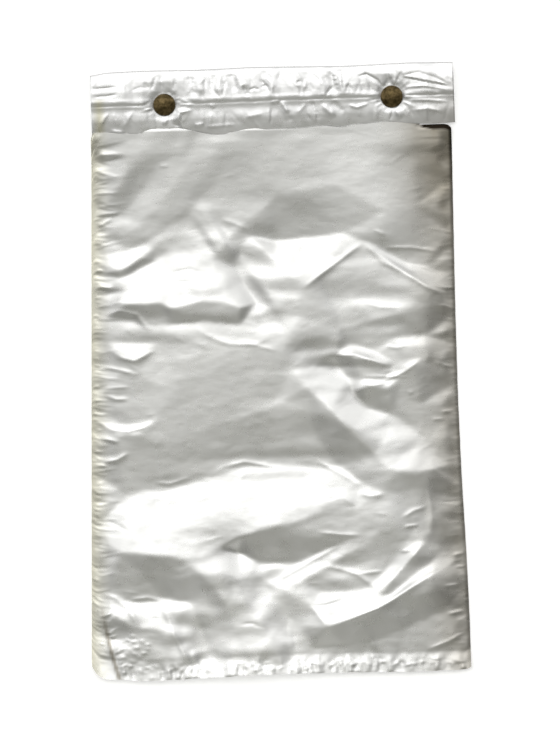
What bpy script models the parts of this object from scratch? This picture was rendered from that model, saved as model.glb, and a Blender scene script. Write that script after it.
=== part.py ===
"""Flat film bag under a folded film header, held together by two domed press studs.

The bag lies on its back panel. X runs across it, +Y towards the header, +Z up.
Blender units are metres. Film is drawn thicker than it is, so that it stays one sound wall.
"""

import math

import bmesh
import bpy
import numpy as np
from mathutils import Vector
from mathutils.geometry import delaunay_2d_cdt

# Overall sizes of the lying bag
HEADER_WIDTH = 0.2460
HEM_WIDTH = 0.2554
BAG_LENGTH = 0.4072
HEM_SHIFT = -0.0086
HEADER_DEPTH = 0.0396

# Film, its welds and the room left between layers
FILM = 0.0003
CLEARANCE = 0.0003
SIDE_WELD = 0.0060
HEM_WELD = 0.0062
WELD_ROOM = 0.0005
WELD_RIPPLE = 0.0003
EDGE_RIPPLE = 0.00025
EDGE_PITCH = 0.0075

# Neck that goes up inside the header, and the shoulders beside it
NECK_INSET = 0.0260
NECK_REACH = 0.0310
LEFT_SHOULDER_DROP = 0.0354
RIGHT_SHOULDER_DROP = 0.0422
SHOULDER_RADIUS = 0.0058
SHOULDER_WELD = 0.0020
NECK_RAMP_MARGIN = 0.0008
NECK_RAMP_LENGTH = 0.0090
RAMP_FOOT_HEIGHT = 0.0031
HEM_CORNER_RADIUS = 0.0150
RIGHT_HEM_CORNER_RADIUS = 0.0035
WELD_CORNER_RISE = 0.0540
WELD_CORNER_RUN = 0.0200

# Header strip
HEADER_LEFT_INSET = 0.0006
HEADER_RIGHT_INSET = 0.0016
FOLD_RADIUS = 0.0015
FOLD_SKIN = 0.0004
CREASE_DROP = 0.0213
PUFF = 0.0019
CRUMPLE = 0.0010
HEADER_COLUMNS = 42
HEADER_OVERRUN = 0.0100
MOUTH_OVERRUN = 0.0040

# Press studs
STUD_PITCH = 0.1524
STUD_OFFSET = 0.0032
CAP_DIAMETER = 0.0150
CAP_HEIGHT = 0.0046
CAP_RIM = 0.0009
POST_WALL = 0.0010
BACK_DIAMETER = 0.0120
BACK_THICKNESS = 0.0010
PIN_DIAMETER = 0.0030
PIN_GRIP = 0.0021
CHAMFER = 0.0003
TURNING_STEPS = 28
HOLE_SIDES = 16
CAP_ARC_STEPS = 8
STUD_RING_POINTS = 16
STUD_RING_MARGIN = 0.0007
STUD_PULL = 0.0130

# Levels of the layers at the header, from the stud backs upwards
HEADER_BACK_Z = BACK_THICKNESS + CLEARANCE
NECK_BACK_Z = HEADER_BACK_Z + FILM + CLEARANCE
NECK_FRONT_Z = NECK_BACK_Z + FILM + CLEARANCE + FILM
HEADER_FRONT_Z = NECK_FRONT_Z + CLEARANCE + FILM
CAP_SEAT_Z = HEADER_FRONT_Z + CLEARANCE

# One step of the fold heights and of the edge offsets in the tables below
FOLD_STEP = 0.001
EDGE_STEP = 0.001
PERCENT = 0.01

# Steps along the neck ramp's two lines and along the rounded corners of the film
RAMP_STEPS = 12
SHOULDER_STEPS = 4
HEM_CORNER_STEPS = 3
WELD_CORNER_STEPS = 6
MERGE_DISTANCE = 0.00001

# Rows of the header above and below its crease:
# (share of the way down to the crease or on to the hem, share of the puff, share of the crumples)
ROWS_ABOVE = ((0.28, 0.35, 0.7), (0.58, 0.8, 1.0), (0.86, 1.0, 0.8))
ROWS_BELOW = ((0.00, 0.1, 0.15), (0.16, 0.5, 0.45), (0.55, 0.7, 0.9))
# Waves that make the crumples: (turn for each column, turn for each row, weight)
HEAVE_WAVES = ((2.15, 0.35, 0.55), (3.05, 0.80, 0.30), (0.90, 0.50, 0.15))

# How far the welded sides lie inside the straight edges: (share of the length, mm)
LEFT_SIDE_INSET = ((0.08, 1.8), (0.30, 1.5), (0.60, 1.1), (0.93, 0.7), (1.00, 0.6))
RIGHT_SIDE_INSET = ((0.10, 3.8), (0.22, 4.2), (0.40, 4.6), (0.55, 4.4), (0.68, 3.4), (0.80, 1.6),
                    (0.92, 0.5), (1.00, 0.4))
# How far the hem lies inside its straight edge: (share of the width, mm)
HEM_INSET = ((0.00, 2.6), (0.08, 2.2), (0.15, 0.3), (0.28, 1.2), (0.50, 2.2), (0.70, 1.4), (0.86, 0.3),
             (1.00, 0.9))
# How far the header's folded top bulges past its straight edge: (share of the width, mm)
FOLD_BULGE = ((0.00, 0.0), (0.05, 1.8), (0.16, 2.1), (0.30, 1.4), (0.45, 2.0), (0.70, 0.5), (0.88, 1.2),
              (1.00, 0.5))
# The header's wavy lower edge: (share of the width, mm below or above the header's depth)
SKIRT_WAVE = ((0.00, -1.3), (0.05, -1.2), (0.09, 0.2), (0.13, 0.5), (0.17, -0.8), (0.20, -2.2), (0.24, -2.5),
              (0.28, -0.4), (0.325, 2.6), (0.375, 3.2), (0.41, 0.8), (0.50, 0.6), (0.585, 0.6), (0.635, -0.9),
              (0.685, 1.2), (0.715, -0.5), (0.765, -1.2), (0.815, -1.9), (0.855, -0.8), (0.90, 0.6),
              (0.94, 0.9), (0.97, 0.7), (1.00, 0.4))
# The film stays at the header's level until it is clear of the skirts and of both shoulders
NECK_RAMP_START = NECK_RAMP_MARGIN + max(HEADER_DEPTH + max(wave for _, wave in SKIRT_WAVE) * EDGE_STEP,
                                         max(LEFT_SHOULDER_DROP, RIGHT_SHOULDER_DROP) + SHOULDER_WELD)

# Fold lines of the front panel: (percent of the width, percent of the length, height in mm).
# A patch that climbs towards the hem faces the header, and one that drops faces the hem.
FOLD_LINES = {
    "top_left_wave": ((4, 21.5, 2.4), (9, 17.5, 2.9), (13, 14.8, 3.1)),
    "top_left_trough": ((4.5, 26, 1.9), (10, 22.5, 2.2), (16, 18, 2.6), (19.5, 14.8, 2.9)),
    "second_wave": ((10, 26.6, 2.6), (17, 23.2, 3.2), (23, 18.5, 3.5), (27.5, 14.8, 3.3)),
    "second_trough": ((20, 26.2, 2.4), (28, 23, 2.7), (34, 18, 2.9), (37.5, 14.8, 3.0)),
    "middle_wave": ((34, 26.4, 3.0), (41, 25.4, 3.4), (46.5, 23.4, 3.7), (51, 20.6, 3.7), (56, 16.8, 3.5),
                    (58.5, 14.8, 3.3)),
    "upper_shelf": ((51, 20.6, 3.7), (58, 20.2, 3.7), (66, 19.4, 3.6), (77, 17.6, 3.2), (88, 17, 2.8),
                    (94, 16, 2.3)),
    "upper_right_dip": ((70, 15.2, 3.2), (80, 14.9, 3.0), (92, 14.9, 2.6)),
    "dart_top": ((43, 27.4, 2.8), (50, 28.4, 1.7), (60, 28, 1.5), (68, 27.4, 1.8), (73, 28.6, 2.6)),
    "dart_point": ((43, 27.4, 2.8), (47, 29.6, 4.2), (50, 31.4, 5.2), (54, 34, 6.2), (58, 35.8, 6.7),
                   (62, 33.4, 5.9), (66, 30.6, 4.6), (73, 28.6, 2.6)),
    "right_slope": ((80, 24, 3.2), (88, 23.5, 2.8), (94, 24.5, 2.2)),
    "right_streak_top": ((77, 29.6, 3.0), (84, 32.6, 3.0), (90, 33.9, 2.7), (94.5, 35.4, 2.2)),
    "right_streak_foot": ((73, 28.6, 2.6), (76, 30.2, 3.9), (80, 32.4, 4.9), (86, 35, 5.4), (91, 36.6, 5.0),
                          (95, 38.6, 3.2)),
    "cuff_top": ((4.5, 29.6, 1.9), (10, 29.2, 2.0), (14, 28.2, 2.2), (17.5, 28.6, 3.0)),
    "cuff_foot": ((4.5, 29.6, 1.9), (8, 32.2, 4.2), (10, 31.8, 4.4), (14, 30.4, 3.9), (17.5, 28.6, 3.0)),
    "apron_top": ((8.6, 33.4, 2.4), (12, 32.6, 2.6), (18, 30.8, 2.8), (22, 28.9, 3.0), (27, 27.7, 3.2),
                  (31, 28.6, 3.7)),
    "apron_left": ((8.6, 33.4, 2.4), (9.5, 35.4, 4.4), (10, 37.7, 6.6)),
    "apron_foot": ((10, 37.7, 6.6), (15, 38, 7.4), (19, 37.8, 7.8), (22, 38.8, 8.2), (30, 37.8, 8.2),
                   (36, 38, 8.0), (41, 39.2, 7.4)),
    "apron_right": ((31, 28.6, 3.7), (33, 30.6, 4.6), (34.2, 33.4, 5.9), (37, 36.2, 7.0), (41, 39.2, 7.4)),
    "apron_gutter": ((36.5, 28.8, 4.0), (38.8, 32, 3.7), (41, 35, 4.2), (44.5, 38.2, 4.9)),
    "below_dart": ((46.5, 34.5, 5.2), (49, 37.4, 5.8)),
    "apron_under": ((4.5, 40.2, 2.6), (11, 40.6, 3.9), (16, 41.6, 4.5), (22, 41.4, 4.9), (30, 41, 5.1),
                    (40, 41.8, 5.0), (50, 40.4, 5.0)),
    "left_tuck_top": ((4.5, 43.9, 2.5), (10, 44.1, 3.6), (18.5, 44.3, 4.8)),
    "left_tuck_foot": ((4.5, 43.9, 2.5), (8.5, 45.6, 4.4), (13, 46.4, 5.2), (18.5, 44.3, 4.8)),
    "middle_crest": ((24, 43.6, 5.8), (30, 44.9, 6.3), (38, 46, 6.6), (45, 46.1, 6.6), (52, 45.5, 6.4),
                     (57, 45.2, 6.2)),
    "upright_crease": ((55.6, 38, 6.5), (56.2, 41, 6.0), (57, 45.2, 6.2), (58, 47.6, 5.6)),
    "thin_tuck": ((4.5, 47.2, 2.2), (9, 48.7, 4.2), (13, 49.3, 4.8)),
    "left_dip": ((4.5, 52, 2.4), (11, 52.6, 4.0), (19, 51.6, 5.0)),
    "middle_left_fall": ((24, 50.6, 5.6), (33, 50, 5.9), (42, 50.4, 5.8), (49, 49.8, 5.9)),
    "left_pleat_top": ((4.5, 57.9, 2.2), (9, 57.8, 3.0), (14, 57.6, 3.8), (18, 56.7, 4.6)),
    "left_pleat_foot": ((4.5, 57.9, 2.2), (8, 59.3, 4.2), (13, 59.3, 4.8), (18, 56.7, 4.6)),
    "left_small_pleat": ((4.5, 62.6, 2.0), (8, 62.9, 3.2), (12, 61.4, 3.8)),
    "middle_slope": ((20, 61.5, 3.9), (30, 59, 4.4), (40, 57, 4.9), (49, 55.4, 5.4)),
    "lower_slope": ((38, 61.8, 3.2), (50, 61, 3.4), (60, 60.6, 4.0)),
    "wedge_top": ((67.5, 43.2, 5.2), (76, 42, 5.8), (84, 40.9, 5.6), (91, 40, 4.4), (95.5, 40, 2.8)),
    "wedge_foot": ((67.5, 43.2, 5.2), (74, 44.8, 4.0), (82, 44.9, 3.4), (90, 44.6, 2.9), (95.5, 44.2, 2.2)),
    "wing_top": ((67.5, 43.2, 5.2), (69.6, 45.7, 3.8), (75, 46.8, 3.3), (81, 49.1, 3.8)),
    "wing_foot": ((65.5, 47.2, 5.4), (70, 47.9, 6.0), (75, 48.5, 5.6), (81, 49.1, 3.8)),
    "right_hook": ((83, 51.4, 4.4), (86.5, 49.8, 5.0), (90, 48.4, 4.4), (95, 48.8, 2.6)),
    "short_pleat_top": ((72.5, 51.6, 4.2), (79.5, 51.8, 3.8)),
    "short_pleat_foot": ((72.5, 53, 5.1), (79.5, 53.2, 4.7)),
    "sash_top": ((54, 49.6, 5.6), (60, 49.2, 4.5), (66, 48.9, 4.0), (68.6, 51, 3.6), (69.8, 53.6, 3.3),
                 (74, 56.4, 3.0), (80, 57.5, 2.8), (84, 58.9, 2.8), (88, 61.4, 2.8), (91, 64.4, 3.0)),
    "sash_foot": ((54, 49.6, 5.6), (58, 52.6, 6.5), (65, 56.6, 7.2), (70, 60, 7.3), (76, 64, 6.9),
                  (80, 66.8, 6.2), (86, 67, 5.7), (91, 66.6, 4.8)),
    "right_flat": ((82, 54.6, 3.4), (88, 56, 3.0), (94.5, 56, 2.2)),
    "right_mid_edge": ((95.5, 61, 2.0), (95.5, 66, 2.2)),
    "lap_top": ((4.5, 69.8, 1.8), (10, 69.4, 1.8), (15, 68.4, 1.9), (20, 68.8, 2.0), (30, 66.9, 2.1),
                (40, 65.4, 2.2), (50, 64.9, 2.3), (60, 65.8, 2.6), (66, 65.6, 3.0), (71.5, 68.4, 4.2)),
    "lap_foot": ((4.5, 77, 3.6), (8, 78.6, 5.8), (13, 78.8, 7.0), (20, 79.4, 8.0), (25, 80, 8.5),
                 (30, 79.6, 8.6), (35, 78.2, 8.4), (40, 76.6, 8.0), (45, 75.6, 7.6), (50, 75, 7.2),
                 (56, 74.2, 6.8), (60, 73.2, 6.4), (63, 71.2, 5.8), (67, 69.9, 5.2), (71.5, 68.4, 4.2)),
    "right_plateau": ((78, 70, 5.4), (88, 70, 4.8), (91.5, 74, 4.2), (91, 79, 4.2)),
    "plateau_middle": ((70, 73, 5.6), (78, 75.4, 5.4), (86, 75, 5.0)),
    "trough_right": ((39, 79.2, 5.4), (45, 81.2, 4.5), (55, 81.2, 4.3), (62, 79.6, 4.6), (69, 77.5, 5.2)),
    "rib_right": ((50, 85.4, 6.2), (56, 84, 6.4), (62, 82.2, 6.4), (67, 80.2, 6.1), (73, 78.8, 5.8)),
    "basin_right": ((60, 86.2, 5.0), (68, 86.2, 4.7), (73, 86, 4.7)),
    "first_ray_top": ((73, 86, 4.7), (78, 83, 4.8), (83, 79.8, 4.9)),
    "first_ray": ((75.5, 87, 6.0), (81, 84.1, 6.3), (86, 80.9, 6.1), (88.5, 78, 5.4)),
    "second_ray_top": ((80, 87, 5.1), (87, 83.4, 4.9), (92, 81, 4.2)),
    "second_ray": ((59, 88.6, 6.0), (62, 92, 6.6), (70, 90.6, 6.9), (77, 88.8, 6.8), (83, 86.4, 6.6),
                   (90, 84.4, 5.6), (95, 82.6, 3.4)),
    "lower_right_fall": ((66, 95, 2.6), (74, 94.4, 2.9), (82, 92.6, 3.2), (89, 90.8, 3.0), (95, 89, 2.2)),
    "corner_ray": ((90, 95.6, 2.2), (95.5, 93.6, 2.4)),
    "lap_under": ((5, 85.2, 2.4), (9, 86.6, 2.7), (14, 86.8, 2.8), (19, 86.2, 3.0), (26, 87.2, 3.2)),
    "lap_under_slope": ((6, 81.6, 4.4), (14, 82.4, 5.2), (22, 83.4, 5.8)),
    "left_cuff_foot": ((5.5, 88.6, 3.9), (10, 90.4, 4.8), (14, 91.2, 5.2), (20, 91.4, 5.4), (23, 93.2, 4.9),
                       (26.5, 95.8, 3.2)),
    "gusset_edge": ((25, 80, 8.5), (29, 82.4, 8.3), (33, 85, 7.7), (36, 88, 6.9), (38, 92, 5.2)),
    "gusset_gutter": ((26, 87.2, 3.2), (28.6, 91, 2.8), (31, 95, 2.2)),
    "tongue": ((38, 83.6, 7.6), (44, 83.2, 6.6), (48, 81.9, 5.0)),
    "tongue_foot": ((41, 87.4, 7.6), (44.5, 90.4, 7.0), (47.6, 93, 6.0), (49, 95.4, 3.6)),
    "tongue_right": ((49, 87.4, 5.6), (52, 90, 4.6), (53, 94.8, 2.6)),
    "foot_valley": ((56, 91.6, 4.4), (58, 95.2, 2.4)),
    "corner_crumple": ((11.5, 94, 3.0), (15, 95.6, 2.4), (20, 95.4, 3.0)),
}

MODEL = "header_bag"


def at(u, v):
    """Place of a point that lies u across the bag and v down its length, both from 0 to 1."""
    width = HEADER_WIDTH + (HEM_WIDTH - HEADER_WIDTH) * v
    return Vector((HEM_SHIFT * v + (u - 0.5) * width, BAG_LENGTH * (0.5 - v)))


def along(pairs, share):
    """Value in metres of a hand-set curve of (share, edge steps) pairs."""
    shares, values = zip(*pairs)
    return float(np.interp(share, shares, values)) * EDGE_STEP


def down(distance):
    """Share of the length that lies a distance below the header's straight top."""
    return distance / BAG_LENGTH


def left_edge(v, inset=0.0):
    return at(0.0, v).x + along(LEFT_SIDE_INSET, v) + inset


def right_edge(v, inset=0.0):
    return at(1.0, v).x - along(RIGHT_SIDE_INSET, v) - inset


def hem_edge(u, inset=0.0):
    return at(u, 1.0).y + along(HEM_INSET, u) + inset


def steps_between(start, end, pitch):
    """Evenly spread values from start to end, both left out."""
    count = max(2, round(abs(end - start) / pitch))
    return [start + (end - start) * i / count for i in range(1, count)]


def bend(start, corner, end, count=SHOULDER_STEPS):
    """Smooth corner from start to end, pulled towards the corner point."""
    points = []
    for i in range(count + 1):
        t = i / count
        points.append(start * (1 - t) ** 2 + corner * 2 * t * (1 - t) + end * t ** 2)
    return points


def body_line(side_inset, shoulder_inset, hem_inset, corner_rise, corner_run, right_radius, ripple):
    """Closed line round the bag, from the mouth's right end clockwise to its left end."""
    top = BAG_LENGTH / 2
    neck_right = at(1.0, 0.0).x - NECK_INSET - side_inset
    neck_left = at(0.0, 0.0).x + NECK_INSET + side_inset
    mouth = top - (HEADER_DEPTH - NECK_REACH)
    right_y = top - RIGHT_SHOULDER_DROP - shoulder_inset
    left_y = top - LEFT_SHOULDER_DROP - shoulder_inset
    reach = SHOULDER_RADIUS
    hem_y = hem_edge(0.5, hem_inset)

    points = [Vector((neck_right, mouth)), Vector((neck_right, (mouth + right_y) / 2))]
    right_x = right_edge(down(RIGHT_SHOULDER_DROP), side_inset)
    points.append(Vector((neck_right, right_y)))
    points.append(Vector(((neck_right + right_x) / 2, right_y)))
    shoulder_end = right_y - reach
    points += bend(Vector((right_x - reach, right_y)), Vector((right_x, right_y)),
                   Vector((right_edge(0.5 - shoulder_end / BAG_LENGTH, side_inset), shoulder_end)))
    corner_y = hem_edge(1.0, hem_inset)
    for i, y in enumerate(steps_between(shoulder_end, corner_y + right_radius, EDGE_PITCH)):
        offset = ripple if i % 2 else -ripple
        points.append(Vector((right_edge(0.5 - y / BAG_LENGTH, side_inset) + offset, y)))
    corner_x = right_edge(1.0, side_inset)
    points += bend(Vector((corner_x, corner_y + right_radius)), Vector((corner_x, corner_y)),
                   Vector((corner_x - right_radius, corner_y)), HEM_CORNER_STEPS)
    left_corner_x = left_edge(1.0, side_inset)
    for i, x in enumerate(steps_between(corner_x - right_radius, left_corner_x + corner_run, EDGE_PITCH)):
        u = (x - at(0.0, 1.0).x) / HEM_WIDTH
        offset = ripple if i % 2 else -ripple
        points.append(Vector((x, hem_edge(u, hem_inset) + offset)))
    left_hem_y = hem_edge(0.0, hem_inset)
    run_u = corner_run / HEM_WIDTH
    points += bend(Vector((left_corner_x + corner_run, hem_edge(run_u, hem_inset))),
                   Vector((left_corner_x, min(left_hem_y, hem_y))),
                   Vector((left_edge(0.5 - (left_hem_y + corner_rise) / BAG_LENGTH, side_inset),
                           left_hem_y + corner_rise)), WELD_CORNER_STEPS)
    for i, y in enumerate(steps_between(left_hem_y + corner_rise, left_y - reach, EDGE_PITCH)):
        offset = ripple if i % 2 else -ripple
        points.append(Vector((left_edge(0.5 - y / BAG_LENGTH, side_inset) + offset, y)))
    left_x = left_edge(down(LEFT_SHOULDER_DROP), side_inset)
    points += bend(Vector((left_x, left_y - reach)), Vector((left_x, left_y)),
                   Vector((left_x + reach, left_y)))
    points.append(Vector(((neck_left + left_x) / 2, left_y)))
    points.append(Vector((neck_left, left_y)))
    points.append(Vector((neck_left, (mouth + left_y) / 2)))
    points.append(Vector((neck_left, mouth)))
    return points


def neck_share(y):
    """1 where the film lies between the header's layers, 0 where it lies on the ground."""
    ramp_top = BAG_LENGTH / 2 - NECK_RAMP_START
    return min(1.0, max(0.0, (y - ramp_top + NECK_RAMP_LENGTH) / NECK_RAMP_LENGTH))


def layered(point, height):
    """Point with its front and back levels; height is the front's level on the body."""
    share = neck_share(point.y)
    front = height * (1 - share) + NECK_FRONT_Z * share
    return (point.x, point.y, front, NECK_BACK_Z * share)


def triangulate(points, lines):
    """Triangles inside the first line, which is closed, with an edge along every other line.

    Points are (x, y, upper level, lower level). Where two lines cross, the levels are read off one of them.
    """
    edges = []
    for line in lines:
        edges += list(zip(line, line[1:]))
    outline = lines[0]
    flat = [Vector(p[:2]) for p in points]
    inside_only = 1
    verts, out_edges, faces, origins, edge_origins, _ = delaunay_2d_cdt(
        flat, edges, [outline[:-1]], inside_only, MERGE_DISTANCE / 100)
    levels = []
    for index, vert in enumerate(verts):
        if origins[index]:
            source = points[origins[index][0]]
            levels.append((source[2], source[3]))
            continue
        number = next(edge_origins[i][0] for i, pair in enumerate(out_edges)
                      if index in pair and edge_origins[i] and edge_origins[i][0] < len(edges))
        a, b = (points[i] for i in edges[number])
        span = (Vector(b[:2]) - Vector(a[:2])).length
        t = (vert - Vector(a[:2])).length / span
        levels.append((a[2] + (b[2] - a[2]) * t, a[3] + (b[3] - a[3]) * t))
    return verts, levels, faces


def film_object(name, points, lines):
    """Closed solid between the upper and lower levels of a triangulated area."""
    verts, levels, faces = triangulate(points, lines)
    bm = bmesh.new()
    number = bm.verts.layers.int.new("point")
    corners = []
    for index, vert in enumerate(verts):
        corner = bm.verts.new((vert.x, vert.y, levels[index][1]))
        corner[number] = index
        corners.append(corner)
    for face in faces:
        bm.faces.new([corners[i] for i in face])
    raised = bmesh.ops.extrude_face_region(bm, geom=bm.faces[:], use_keep_orig=True)["geom"]
    for item in raised:
        if isinstance(item, bmesh.types.BMVert):
            item.co.z = levels[item[number]][0]
    bmesh.ops.delete(bm, geom=[v for v in bm.verts if not v.link_faces], context="VERTS")
    bmesh.ops.recalc_face_normals(bm, faces=bm.faces[:])
    return new_object(name, bm)


def new_object(name, bm):
    mesh = bpy.data.meshes.new(name)
    bm.to_mesh(mesh)
    bm.free()
    return bpy.data.objects.new(name, mesh)


def keep_inside(point, margin):
    """Fold point moved back inside the welds, where a change of size would push it out."""
    v = 0.5 - point.y / BAG_LENGTH
    x = min(max(point.x, left_edge(v, SIDE_WELD + margin)), right_edge(v, SIDE_WELD + margin))
    u = min(max((x - at(0.0, v).x) / (at(1.0, v).x - at(0.0, v).x), 0.0), 1.0)
    top = BAG_LENGTH / 2 - NECK_RAMP_START - NECK_RAMP_LENGTH
    y = min(max(point.y, hem_edge(u, HEM_WELD + margin)), top - margin)
    return Vector((x, y))


def bag_points():
    """Points and lines of the bag's film: outline, weld line, neck ramp and folds."""
    outline = body_line(0.0, 0.0, 0.0, HEM_CORNER_RADIUS, HEM_CORNER_RADIUS, RIGHT_HEM_CORNER_RADIUS,
                        EDGE_RIPPLE)
    weld = body_line(SIDE_WELD, SHOULDER_WELD, HEM_WELD, WELD_CORNER_RISE, WELD_CORNER_RUN,
                     RIGHT_HEM_CORNER_RADIUS, 0.0)
    points = [layered(p, 2 * FILM) for p in outline]
    outline_line = list(range(len(points))) + [0]
    weld_height = 3 * FILM + WELD_ROOM
    weld_line = []
    for i, p in enumerate(weld):
        ripple = WELD_RIPPLE if i % 2 else -WELD_RIPPLE
        weld_line.append(len(points))
        points.append(layered(p, weld_height + ripple))
    lines = [outline_line, weld_line]
    for fold in FOLD_LINES.values():
        line = []
        for u, v, height in fold:
            place = keep_inside(at(u * PERCENT, v * PERCENT), EDGE_RIPPLE)
            line.append(len(points))
            points.append((place.x, place.y, height * FOLD_STEP, 0.0))
        lines.append(line)
    ramp_top = BAG_LENGTH / 2 - NECK_RAMP_START
    for y, height in ((ramp_top, NECK_FRONT_Z), (ramp_top - NECK_RAMP_LENGTH, RAMP_FOOT_HEIGHT)):
        v = 0.5 - y / BAG_LENGTH
        line = []
        left = left_edge(v, SIDE_WELD + EDGE_RIPPLE)
        right = right_edge(v, SIDE_WELD + EDGE_RIPPLE)
        for i in range(RAMP_STEPS + 1):
            line.append(len(points))
            points.append(layered(Vector((left + (right - left) * i / RAMP_STEPS, y)), height))
        lines.append(line)
    return points, lines


def bag_cavity_points(points, lines):
    """Inside of the bag: the same folds, one film thickness in from the outside, running out of the mouth."""
    weld_line = lines[1]
    first, last = points[weld_line[0]], points[weld_line[-1]]
    inner = [(x, y, upper - FILM, lower + FILM) for x, y, upper, lower in points]
    right = len(inner)
    inner.append((first[0], first[1] + MOUTH_OVERRUN, first[2] - FILM, first[3] + FILM))
    inner.append((last[0], last[1] + MOUTH_OVERRUN, last[2] - FILM, last[3] + FILM))
    outline = weld_line + [right + 1, right, weld_line[0]]
    used = set(outline)
    for line in lines[2:]:
        used.update(line)
    renumber = {old: new for new, old in enumerate(sorted(used))}
    kept = [inner[old] for old in sorted(used)]
    mouth = [renumber[weld_line[0]], renumber[weld_line[-1]]]
    return kept, [[renumber[i] for i in line] for line in [outline] + lines[2:]] + [mouth]


def stud_places():
    """Middle of each stud, left one first, on the header's cross crease."""
    y = BAG_LENGTH / 2 - CREASE_DROP
    half = STUD_PITCH / 2
    return {"left": Vector((STUD_OFFSET - half, y)), "right": Vector((STUD_OFFSET + half, y))}


def header_edges(u):
    """Top and lower edge of the header at a share of its width."""
    top = BAG_LENGTH / 2 + along(FOLD_BULGE, u)
    low = BAG_LENGTH / 2 - HEADER_DEPTH - along(SKIRT_WAVE, u)
    return top, low


def crumple(column, row):
    """Uneven heave of the header's film between 0 and 2, which runs mostly from the fold to the hem."""
    return 1 + sum(weight * math.sin(across * column + lean * row) for across, lean, weight in HEAVE_WAVES)


def clear_of_studs(place):
    """0 where the studs pinch the film flat, 1 where it is free to puff up."""
    nearest = min((place - stud).length for stud in stud_places().values())
    share = (nearest - CAP_DIAMETER / 2 - STUD_RING_MARGIN) / STUD_PULL
    return min(1.0, max(0.0, share))


def header_points():
    """Points and lines of the header strip: outline, rounded fold and rows of crumples."""
    skirt = HEADER_DEPTH - CREASE_DROP
    rows = [(CREASE_DROP * share, puff, heave) for share, puff, heave in ROWS_ABOVE]
    rows += [(CREASE_DROP + skirt * share, puff, heave) for share, puff, heave in ROWS_BELOW]
    left = at(0.0, 0.0).x + HEADER_LEFT_INSET
    right = at(1.0, 0.0).x - HEADER_RIGHT_INSET
    columns = [left + (right - left) * i / HEADER_COLUMNS for i in range(HEADER_COLUMNS + 1)]
    middle_z = (HEADER_BACK_Z + HEADER_FRONT_Z) / 2
    points = []
    grid = []
    keep_out = CAP_DIAMETER / 2 + 2 * STUD_RING_MARGIN
    for i, x in enumerate(columns):
        share = i / HEADER_COLUMNS
        top, low = header_edges(share)
        column = [(x, top, middle_z + FOLD_SKIN, middle_z - FOLD_SKIN),
                  (x, top - FOLD_RADIUS, HEADER_FRONT_Z, HEADER_BACK_Z)]
        for row, (drop, puff, heave) in enumerate(rows):
            y = BAG_LENGTH / 2 - drop
            rise = (PUFF * puff + CRUMPLE * heave * crumple(i, row)) * clear_of_studs(Vector((x, y)))
            column.append((x, y, HEADER_FRONT_Z + rise, HEADER_BACK_Z))
        column.append((x, low, HEADER_FRONT_Z + CRUMPLE * crumple(i, len(rows)), HEADER_BACK_Z))
        line = []
        for row, point in enumerate(column):
            edge = i in (0, HEADER_COLUMNS) or row in (0, 1, len(column) - 1)
            near = any((Vector(point[:2]) - stud).length < keep_out for stud in stud_places().values())
            if near and not edge:
                line.append(None)
                continue
            line.append(len(points))
            points.append(point)
        grid.append(line)
    outline = [line[0] for line in grid] + grid[-1][1:] + [line[-1] for line in grid[-2::-1]]
    outline += grid[0][-2::-1]
    lines = [outline, [line[1] for line in grid]]
    for place in stud_places().values():
        ring = []
        for i in range(STUD_RING_POINTS):
            angle = 2 * math.pi * i / STUD_RING_POINTS
            reach = CAP_DIAMETER / 2 + STUD_RING_MARGIN
            ring.append(len(points))
            points.append((place.x + reach * math.cos(angle), place.y + reach * math.sin(angle),
                           HEADER_FRONT_Z, HEADER_BACK_Z))
        lines.append(ring + ring[:1])
    return points, lines, grid


def header_cavity_points(points, lines, grid):
    """Space between the header's layers: it runs out below the skirts and past both ends."""
    inner = [(x, y, upper - FILM, lower + FILM) for x, y, upper, lower in points]

    def copy_of(index, dx, dy):
        x, y, upper, lower = inner[index]
        inner.append((x + dx, y + dy, upper, lower))
        return len(inner) - 1

    fold = lines[1]
    left_side = grid[0][1:]
    right_side = grid[-1][1:]
    low = [line[-1] for line in grid]
    out = HEADER_OVERRUN
    right_run = [copy_of(i, out, 0) for i in right_side]
    left_run = [copy_of(i, -out, 0) for i in left_side]
    right_corner = copy_of(right_side[-1], out, -out)
    left_corner = copy_of(left_side[-1], -out, -out)
    low_run = [copy_of(i, 0, -out) for i in low]
    outline = fold + right_run + [right_corner] + low_run[::-1] + [left_corner] + left_run[::-1] + [fold[0]]
    inside = [left_side, right_side, low] + lines[2:]
    first_row = {line[0] for line in grid}
    kept = [i for i in range(len(inner)) if i not in first_row]
    renumber = {old: new for new, old in enumerate(kept)}
    return [inner[i] for i in kept], [[renumber[i] for i in line] for line in [outline] + inside]


def turned(name, profile):
    """Solid turned from a profile of (radius, height) pairs that runs from the axis down its outer side."""
    mesh = bpy.data.meshes.new(name)
    mesh.from_pydata([(r, 0, z) for r, z in profile], [(i, i + 1) for i in range(len(profile) - 1)], [])
    body = bpy.data.objects.new(name, mesh)
    screw = body.modifiers.new("Turning", "SCREW")
    screw.steps = TURNING_STEPS
    screw.render_steps = TURNING_STEPS
    screw.use_merge_vertices = True
    screw.merge_threshold = MERGE_DISTANCE
    screw.use_smooth_shade = True
    return body


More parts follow.
